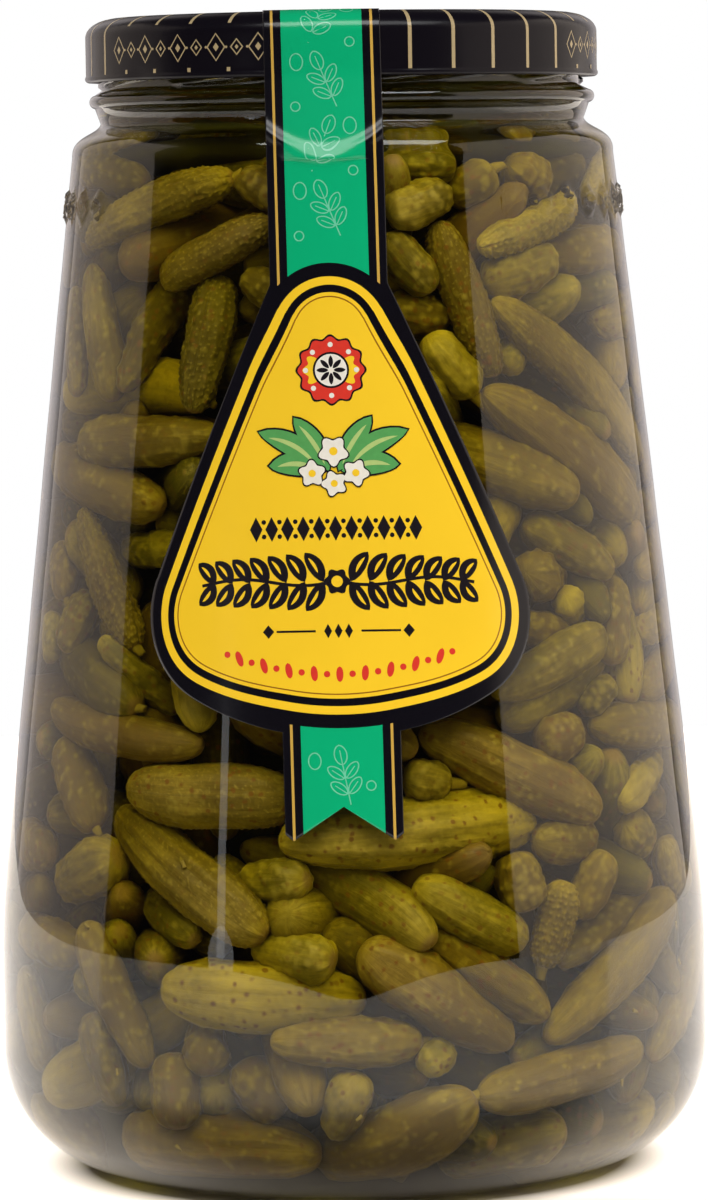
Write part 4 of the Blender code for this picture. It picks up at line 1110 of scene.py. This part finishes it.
# Two rings of points round a middle, one close to it and one at the radius r (1 + lobe cos(n (p - turn)))
def disc(middle, radius, lobes=0, lobe=0.0, steps=28, turn=0.0):
    p = np.linspace(0.0, 2.0 * math.pi, steps + 1)
    reach = radius * (1.0 + lobe * np.cos(lobes * (p - turn)))
    rings = [middle + s * np.stack([reach * np.cos(p), reach * np.sin(p)], axis=1) for s in (0.02, 1.0)]
    return np.stack(rings, axis=1)


# A band of even width along a path, with mitred turns
def band(path, width, closed=False):
    path = np.asarray(path, float)
    if closed:
        path = np.concatenate([path, path[:1]])
        way = np.concatenate([path[1:2] - path[-2:-1], path[2:] - path[:-2], path[1:2] - path[-2:-1]])
    else:
        way = np.gradient(path, axis=0)
    way = way / np.maximum(np.linalg.norm(way, axis=1, keepdims=True), 1e-9)
    normal = np.stack([-way[:, 1], way[:, 0]], axis=1)
    return np.stack([path - 0.5 * width * normal, path + 0.5 * width * normal], axis=1)


# The corners of a lozenge in turn, and the same as a filled grid
def diamond(middle, width, height):
    x, y = middle
    w, h = 0.5 * width, 0.5 * height
    return np.array([(x - w, y), (x, y - h), (x + w, y), (x, y + h)], float)


def lozenge(middle, width, height):
    return diamond(middle, width, height)[[[0, 1], [3, 2]]]


# One closed thin piece from many flat shapes: `lay` takes (across, down, lift) to points on what bears them.
# Each shape is (grid in mm, colour, level), and a higher level lies over a lower one.
def printPiece(name, shapes, lay, lift, rough):
    points, colours, quads, total = [], [], [], 0
    for grid, colour, level in shapes:
        rows, columns = grid.shape[:2]
        low = (lift + 0.012 * level) * mm
        for height in (low, low + 0.010 * mm):
            points.append(lay(grid[..., 0].ravel() * mm, grid[..., 1].ravel() * mm, height))
            colours.append(np.tile((*colour, 1.0), (rows * columns, 1)))
        quads.append(lookingOut(np.concatenate(points[-2:]), sheetQuads(rows, columns)) + total)
        total += 2 * rows * columns
    piece = buildMesh(name, np.concatenate(points), np.concatenate(quads), closed=False, smooth=False)
    addAttribute(piece, "ink", "FLOAT_COLOR", "color", np.concatenate(colours))
    material, tree, shader = newMaterial(name + " ink")
    ink = addNode(tree, "ShaderNodeAttribute", attribute_name="ink").outputs["Color"]
    setInputs(tree, shader, {"Base Color": shaded(tree, ink, 900.0, 2.0, 0.92), "Roughness": rough})
    piece.data.materials.append(material)
    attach(piece, "root")
    print(name + ":", len(shapes), "shapes,", len(piece.data.polygons), "faces")


# A flat point (x round, y up the skin from the lower edge) on the lid's side and shoulder
def layOnLid(x, y, lift):
    skin = lidSkin()[::-1]
    length, way = pathLength(skin), unit(np.gradient(skin, axis=0))
    r = np.interp(y, length, skin[:, 0] + lift * way[:, 1])
    z = np.interp(y, length, skin[:, 1] - lift * way[:, 0])
    return turnedTo(r, x / lid["radius"], z)


# Gold stripes round the lid, with three windows in which a chain of lozenges and dots takes their place
def makeLidPrint():
    shapes = []

    def add(grid):
        shapes.append((grid, lid["gold"], 0))

    radius = lid["radius"] / mm
    side = (lid["sideTop"] - lid["low"]) / mm
    for k in range(lid["stripes"]):
        degrees = -180.0 + 360.0 * (k + 0.5) / lid["stripes"]
        x = math.radians(degrees) * radius
        inWindow = min(abs((degrees - w + 180.0) % 360.0 - 180.0) for w in lid["windows"]) < lid["windowHalf"]
        runs = [(1.9, 2.7), (side + 2.4, side + 7.6)] if inWindow else [(1.9, side + 7.6)]
        for low, high in runs:
            path = np.stack([np.full(24, x), np.linspace(low, high, 24)], axis=1)
            add(band(path, lid["stripeWidth"] / mm))
    for window in lid["windows"]:
        middle = math.radians(window) * radius
        half = math.radians(lid["windowHalf"]) * radius - 2.5
        for k, x in enumerate(np.linspace(-half + 2.0, half - 2.0, 9)):
            w, h = (3.9, 5.2) if k % 2 == 0 else (2.5, 3.0)
            add(band(diamond((middle + x, 6.6), w, h), 0.32, closed=True))
            add(lozenge((middle + x, 6.6), 0.32 * w, 0.32 * h))
            if k < 8:
                add(disc((middle + x + (half - 2.0) / 8.0, 6.6), 0.26, steps=10))
    printPiece("lidStripes", shapes, layOnLid, 0.015, 0.28)


# The label: `down` runs along its middle line from the top of the cone, `across` from that line

label = {
    "start": 203.8 * mm, "lean": math.radians(0.86), "shift": -3.4 * mm,
    "clear": 0.12 * mm, "paper": 0.12 * mm,
    "stripHalf": 11.4 * mm, "sideStart": 23.9 * mm, "sideSlope": 0.464,
    "cornerAcross": 21.2 * mm, "cornerDown": 87.3 * mm, "cornerRound": 17.9 * mm,
    "baseRound": 59.1 * mm, "baseDown": 111.1 * mm,
    "apexDown": 33.5 * mm, "apexRound": 14.4 * mm,
    "tailEnd": 130.9 * mm, "tailNotch": 124.4 * mm, "tailPoint": 0.86, "tailCorner": 1.3 * mm,
    "endRadius": 21.5 * mm, "columns": 97,
    "baseExtra": 1.75, "topExtra": 0.85,  # mm by which the rings are wider at the base and at the top
    "rings": (2.6, 4.2, 5.65, 6.35, 6.62),  # mm in from the edge: yellow, black ring, gap, fine line, field
    "greenHalf": 7.83, "goldInner": 9.4, "goldOuter": 9.92,  # mm from the strip's middle
    "black": (0.0040, 0.0034, 0.0060), "yellow": (0.95, 0.605, 0.025), "brown": (0.30, 0.12, 0.01),
    "green": (0.003, 0.42, 0.175), "gold": (0.62, 0.38, 0.07), "rough": 0.2, "mirror": 0.4,
    "crease": 0.8 * mm, "creaseWidth": 1.6 * mm, "creaseBow": 4.8 * mm,
}


# Up from the cone over the shoulder and the lid's side to the strip's end on the lid, as even steps of (r, z)
def stripRoute():
    out = label["clear"]
    low = [(float(bodyRadius(label["start"])) + out, label["start"]),
           (lid["radius"] + out, lid["low"] + 0.5 * mm), (lid["radius"] + out, lid["sideTop"])]
    r = np.linspace(lid["ridge"], label["endRadius"], 14)[1:]
    drop = lid["drop"] * smoothStep(lid["panel"] + 2.8 * mm, lid["panel"] - 0.4 * mm, r)
    top = np.stack([r, lid["top"] - drop + out], axis=1)
    points = np.concatenate([low, lidShoulder(np.linspace(0, 90, 15)[1:], out), top])
    length = pathLength(points)
    even = np.linspace(0.0, length[-1], 160)
    route = np.stack([np.interp(even, length, points[:, k]) for k in (0, 1)], axis=1)
    soft = route.copy()
    for turn in range(6):
        soft[1:-1] = 0.25 * soft[:-2] + 0.5 * soft[1:-1] + 0.25 * soft[2:]
    return soft, even


route, routeLength = stripRoute()
routeWay = unit(np.gradient(route, axis=0))


# Below `start` the flat label is rolled on the cone: with D the slant from the cone's apex, the point lies at
# slant hypot(x, D) and turn atan(x / D) / sin(slope). Above, it bends round the lid and follows the route.
def layOnJar(across, down, lift):
    x = label["shift"] + across + label["lean"] * down
    fold = down + 0.8 * mm + label["creaseBow"] * (across / label["stripHalf"]) ** 2
    crease = label["crease"] * np.exp(-((fold / label["creaseWidth"]) ** 2))
    lift = lift + crease * (np.abs(across) < 12.0 * mm)
    slope = jar["coneSlope"]
    apex = (float(bodyRadius(label["start"])) + label["clear"] + lift) / math.sin(slope)
    below = np.maximum(down, 0.0)
    slant = np.hypot(x, apex + below)
    turn = np.arctan2(x, apex + below) / math.sin(slope)
    r = slant * math.sin(slope)
    z = label["start"] - (slant - apex) * math.cos(slope)
    cone = turnedTo(r, turn, z)
    up = np.maximum(-down, 0.0)
    r = np.interp(up, routeLength, route[:, 0]) + lift * np.interp(up, routeLength, routeWay[:, 1])
    z = np.interp(up, routeLength, route[:, 1]) - lift * np.interp(up, routeLength, routeWay[:, 0])
    bend = np.maximum(r, lid["radius"])
    turn = x / bend
    strip = np.stack([bend * np.sin(turn), -bend * np.cos(turn) + bend - r, z], axis=1)
    share = smoothStep(0.0, -3.0 * mm, down)[:, None]
    return cone * (1.0 - share) + strip * share


# Half the label's width: a strip, straight sides, round corners, a round base, then the tail
def labelHalf(down):
    normal = math.atan(label["sideSlope"])
    sideEnd = label["cornerDown"] - label["cornerRound"] * math.sin(normal)
    middle = label["baseDown"] - label["baseRound"]
    lean = math.atan2(label["cornerAcross"], label["cornerDown"] - middle)
    cornerEnd = middle + label["baseRound"] * math.cos(lean)
    side = label["stripHalf"] + label["sideSlope"] * (down - label["sideStart"])
    corner = np.sqrt(np.maximum(label["cornerRound"] ** 2 - (down - label["cornerDown"]) ** 2, 0.0))
    corner = corner + label["cornerAcross"]
    base = np.sqrt(np.maximum(label["baseRound"] ** 2 - (down - middle) ** 2, 0.0))
    lower = np.where(down < cornerEnd, corner, np.maximum(label["stripHalf"], base))
    return np.where(down < label["sideStart"], label["stripHalf"], np.where(down < sideEnd, side, lower))


# Depth in mm inside the rounded triangle, made of an apex circle, two sides, two corner circles and a base
# arc, less the extra width that the rings have at the base and at the top
def ringDepth(across, down):
    x, y = np.abs(across) / mm, down / mm
    cornerX, cornerY = label["cornerAcross"] / mm, label["cornerDown"] / mm
    cornerR = label["cornerRound"] / mm
    apexY, apexR = label["apexDown"] / mm, label["apexRound"] / mm
    baseR = label["baseRound"] / mm
    baseY = label["baseDown"] / mm - baseR
    tilt = math.atan(label["sideSlope"])
    alongX, alongY = math.sin(tilt), math.cos(tilt)
    fromApex = x * alongX + (y - apexY) * alongY
    fromCorner = (x - cornerX) * alongX + (y - cornerY) * alongY
    side = cornerR - ((x - cornerX) * alongY - (y - cornerY) * alongX)
    apex = apexR - np.hypot(x, y - apexY)
    corner = cornerR - np.hypot(x - cornerX, y - cornerY)
    flank = np.where(fromApex < 0.0, apex, np.where(fromCorner > 0.0, corner, side))
    under = np.arctan2(x, y - baseY)
    limit = math.atan2(cornerX, cornerY - baseY)
    base = np.where((under < limit) & (y > baseY), baseR - np.hypot(x, y - baseY), 99.0)
    flank = np.where((under < limit) & (y > cornerY), 99.0, flank)
    depth = np.minimum(flank, base)
    around = np.degrees(np.arctan2(x, y - 75.0))
    wider = label["baseExtra"] * smoothStep(62.0, 18.0, around)
    return depth - wider - label["topExtra"] * smoothStep(155.0, 172.0, around)


def labelMaterial():
    material, tree, shader = newMaterial("printed paper")
    depth = addNode(tree, "ShaderNodeAttribute", attribute_name="ring").outputs["Fac"]
    flat = addNode(tree, "ShaderNodeUVMap", uv_map="flat").outputs[0]
    parts = addNode(tree, "ShaderNodeSeparateXYZ", {0: flat})
    across = calc(tree, "ABSOLUTE", parts.outputs["X"])
    black, yellow = label["black"], label["yellow"]
    edges = [0.0] + [ring / 10.0 for ring in label["rings"]]
    colours = [black, yellow, black, yellow, label["brown"], yellow]
    triangle = ramp(tree, times(tree, depth, 0.1), list(zip(edges, colours)), "CONSTANT")
    edges = [0.0, label["greenHalf"] / 12.0, label["goldInner"] / 12.0, label["goldOuter"] / 12.0]
    colours = [label["green"], black, label["gold"], black]
    strip = ramp(tree, calc(tree, "DIVIDE", across, 12.0), list(zip(edges, colours)), "CONSTANT")
    inside = calc(tree, "GREATER_THAN", depth, 0.0)
    colour = mixColours(tree, inside, strip, triangle)
    place = objectPlace(tree)
    waves = bump(tree, noise(tree, place, 95.0, 2.0), 0.0003, 0.35)
    setInputs(tree, shader, {
        "Base Color": shaded(tree, colour, 40.0, 3.0, 0.955),
        "Roughness": label["rough"], "Specular IOR Level": label["mirror"],
        "Normal": bump(tree, noise(tree, place, 2600.0, 2.0), 0.00002, 0.4, waves),
    })
    return material


# Rows of stations down the label, closest where its outline turns, and columns at even shares of its half
# width
def makeLabel():
    middle = label["baseDown"] - label["baseRound"]
    stripStart = middle + math.sqrt(label["baseRound"] ** 2 - label["stripHalf"] ** 2)
    stops = [-routeLength[-1], -8 * mm, 3 * mm, label["sideStart"], 80 * mm, 102 * mm, stripStart]
    down = stepped(stops + [label["tailNotch"]], [80, 40, 26, 90, 50, 46, 16])
    share = np.linspace(-1.0, 1.0, label["columns"])
    across = share[None] * labelHalf(down)[:, None]
    rows = np.repeat(down[:, None], len(share), axis=1)
    away = np.abs(share)
    deep = label["tailEnd"] - label["tailNotch"]
    point = label["tailPoint"]
    outer = deep - label["tailCorner"] * (away - point) / (1.0 - point)
    reach = np.where(away <= point, deep * away / point, outer)
    tail = np.linspace(0.0, 1.0, 9)[1:, None] * np.maximum(reach, 0.05 * mm)[None]
    across = np.concatenate([across, np.repeat(across[-1:], len(tail), axis=0)])
    rows = np.concatenate([rows, rows[-1:] + tail])
    end = smoothStep(-routeLength[-1] + 6 * mm, -routeLength[-1], rows)
    rows = rows - end * 0.4 * reach[None]
    points = layOnJar(across.ravel(), rows.ravel(), 0.0 * mm)
    over = layOnJar(across.ravel(), rows.ravel(), label["paper"])
    both = np.concatenate([points, over])
    quads = lookingOut(both, sheetQuads(len(rows), len(share)))
    piece = buildMesh("labelPaper", both, quads, closed=False)
    flat = np.stack([across.ravel(), rows.ravel()], axis=1) / mm
    depth = np.tile(ringDepth(across.ravel(), rows.ravel()), 2)
    addAttribute(piece, "ring", "FLOAT", "value", depth)
    addUv(piece, "flat", np.tile(flat, (2, 1)))
    piece.data.materials.append(labelMaterial())
    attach(piece, "root")
    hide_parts("label")
    print("label:", len(piece.data.polygons), "faces")


ink = {
    "black": (0.012, 0.009, 0.012), "red": (0.72, 0.045, 0.028), "white": (0.86, 0.82, 0.72),
    "leaf": (0.10, 0.36, 0.10), "paleLeaf": (0.45, 0.60, 0.20), "yellow": label["yellow"],
    "stripLine": (0.16, 0.62, 0.38),
}


# A leaf with a dark outline, a fill and a pale rib
def inkLeaf(a, b, width, bow=0.0, level=0):
    a, b = np.array(a, float), np.array(b, float)
    way = (b - a) / np.hypot(*(b - a))
    return [(leaf(a - 0.35 * way, b + 0.45 * way, width + 0.75, bow), ink["black"], level),
            (leaf(a, b, width, bow), ink["leaf"], level + 1),
            (leaf(a + 0.12 * (b - a), b - 0.15 * (b - a), 0.22 * width, bow), ink["paleLeaf"], level + 2)]


# A blossom of white petals with an outline and a yellow middle
def blossom(x, y, size, turn, level):
    return [(disc((x, y), size + 0.3, 5, 0.16, turn=turn, steps=40), ink["black"], level),
            (disc((x, y), size, 5, 0.18, turn=turn, steps=40), ink["white"], level + 1),
            (disc((x, y), 0.32 * size), ink["yellow"], level + 2)]


# The field's own design: a red rosette, a fan of leaves with blossoms, and rows of plain ornament
def fieldShapes():
    rosette = np.array([0.0, 40.6])
    shapes = [(disc(rosette, 6.5, 12, 0.06, steps=96), ink["black"], 0),
              (disc(rosette, 6.1, 12, 0.06, steps=96), ink["red"], 1),
              (disc(rosette, 3.5), ink["black"], 2), (disc(rosette, 3.1), ink["white"], 3)]

    def add(grid, colour, level):
        shapes.append((grid, ink[colour], level))

    for k in range(8):
        turn = 2.0 * math.pi * k / 8
        way = np.array([math.cos(turn), math.sin(turn)])
        add(leaf(rosette + 0.5 * way, rosette + 2.8 * way, 0.9), "black", 4)
        add(disc(rosette + 4.9 * way, 0.5, steps=16), "white", 2)
    fan = [(-14.5, 52.2, 4.2, 1.2), (-12.6, 58.8, 4.4, 0.9), (-7.5, 49.6, 4.0, 0.5),
           (14.5, 52.2, 4.2, -1.2), (12.6, 58.8, 4.4, -0.9), (7.5, 49.6, 4.0, -0.5)]
    for x, y, width, bow in fan:
        shapes += inkLeaf((0.12 * x, 60.0), (x, y), width, bow, 5)
    blossoms = [(0.0, 56.2, 2.5, 0.3), (-4.2, 60.4, 2.2, 0.9), (4.2, 60.4, 2.2, 0.1), (0.0, 62.4, 2.1, 0.6)]
    for x, y, size, turn in blossoms:
        shapes += blossom(x, y, size, turn, 9)
    for k in range(-5, 6):
        add(lozenge((3.1 * k, 71.0), 2.5, 4.8), "black", 0)
        if k < 5:
            add(disc((3.1 * k + 1.55, 69.6), 0.45, steps=14), "black", 0)
            add(disc((3.1 * k + 1.55, 72.4), 0.45, steps=14), "black", 0)
    for side in (-1, 1):
        x = np.linspace(1.0, 27.0, 50)
        stem = np.stack([side * x, 81.2 + 0.7 * np.sin(x / 4.0)], axis=1)
        add(band(stem, 0.6), "black", 0)
        for k in range(7):
            at = 2.6 + 3.6 * k
            for up in (-1, 1):
                base, tip = (side * at, 81.2), (side * (at + 3.5), 81.2 + up * (5.6 - 0.25 * k))
                add(leaf(base, tip, 3.0, 0.35 * up * side), "black", 1)
                rib = [np.array(base) + s * (np.array(tip) - np.array(base)) for s in (0.3, 0.82)]
                add(leaf(rib[0], rib[1], 0.6, 0.2 * up * side), "yellow", 2)
    add(disc((0, 81.2), 2.3, 6, 0.12, steps=48), "black", 3)
    add(disc((0, 81.2), 1.1), "yellow", 4)
    for side in (-1, 1):
        rule = np.stack([side * np.linspace(4.4, 12.0, 12), np.full(12, 90.7)], axis=1)
        add(band(rule, 0.4), "black", 0)
        add(lozenge((side * 13.6, 90.7), 2.2, 2.6), "black", 0)
    for k in (-1, 0, 1):
        add(lozenge((2.0 * k, 90.7), 1.5, 2.8), "black", 0)
    for k in range(-9, 10):
        x = 2.45 * k
        y = 99.0 - 0.0085 * x * x
        if k % 2:
            add(disc((x, y), 0.62, steps=16), "red", 0)
        else:
            lean = 0.017 * x
            ends = [(x + lean * s, y - s) for s in (-1.5, 1.5)]
            add(leaf(ends[0], ends[1], 1.35, 0.0, 0.5), "red", 0)
    return shapes


# Pale outlines of sprigs and rings on the green strip and on the tail
def stripShapes():
    shapes = []

    def add(grid):
        shapes.append((grid, ink["stripLine"], 0))

    def ring(x, y, size, squash=1.0):
        p = np.linspace(0.0, 2.0 * math.pi, 30)[:-1]
        path = np.stack([x + size * np.cos(p), y + squash * size * np.sin(p)], axis=1)
        add(band(path, 0.24, closed=True))

    def outline(a, b, width):
        grid = leaf(a, b, width, 0.0, 0.6, 20)
        path = np.concatenate([grid[:, 0], grid[-2:0:-1, 2]])
        add(band(path, 0.24, closed=True))
        a, b = np.array(a), np.array(b)
        add(band(np.stack([a, a + 0.75 * (b - a)]), 0.2))

    def sprig(x, y, turn):
        c, s = math.cos(turn), math.sin(turn)

        def at(u, v):
            return (x + c * u - s * v, y + s * u + c * v)

        add(band([at(-4.6, 0.0), at(3.4, 0.0)], 0.24))
        outline(at(3.2, 0.0), at(7.0, 0.0), 2.4)
        for u in (-2.4, 0.6):
            outline(at(u, 0.2), at(u + 2.6, 2.9), 1.9)
            outline(at(u, -0.2), at(u + 2.6, -2.9), 1.9)

    for k, y in enumerate(np.arange(-64.5, 14.0, 12.5)):
        sprig(-0.9 if k % 2 else 0.9, y, -1.2 if k % 2 else -1.95)
        ring(5.0 if k % 2 else -5.0, y - 4.5, 1.25, 1.3)
        ring(5.4 if k % 2 else -5.4, y + 4.2, 0.9)
    sprig(0.6, 119.5, -1.75)
    ring(-5.3, 115.6, 1.2, 1.3)
    ring(5.4, 120.4, 0.9)
    return shapes


def makeLabelPrint():
    paper = label["paper"] / mm
    printPiece("labelOrnament", fieldShapes(), layOnJar, paper + 0.02, label["rough"])
    printPiece("stripOrnament", stripShapes(), layOnJar, paper + 0.02, label["rough"])


makeCamera()
makeLights()
makeRoom()
makeFloor()
print("stage is set")
makeGlass()
makeBrine()
makeGherkins()
makeCore()
makeLid()
makeLidPrint()
makeLabel()
makeLabelPrint()
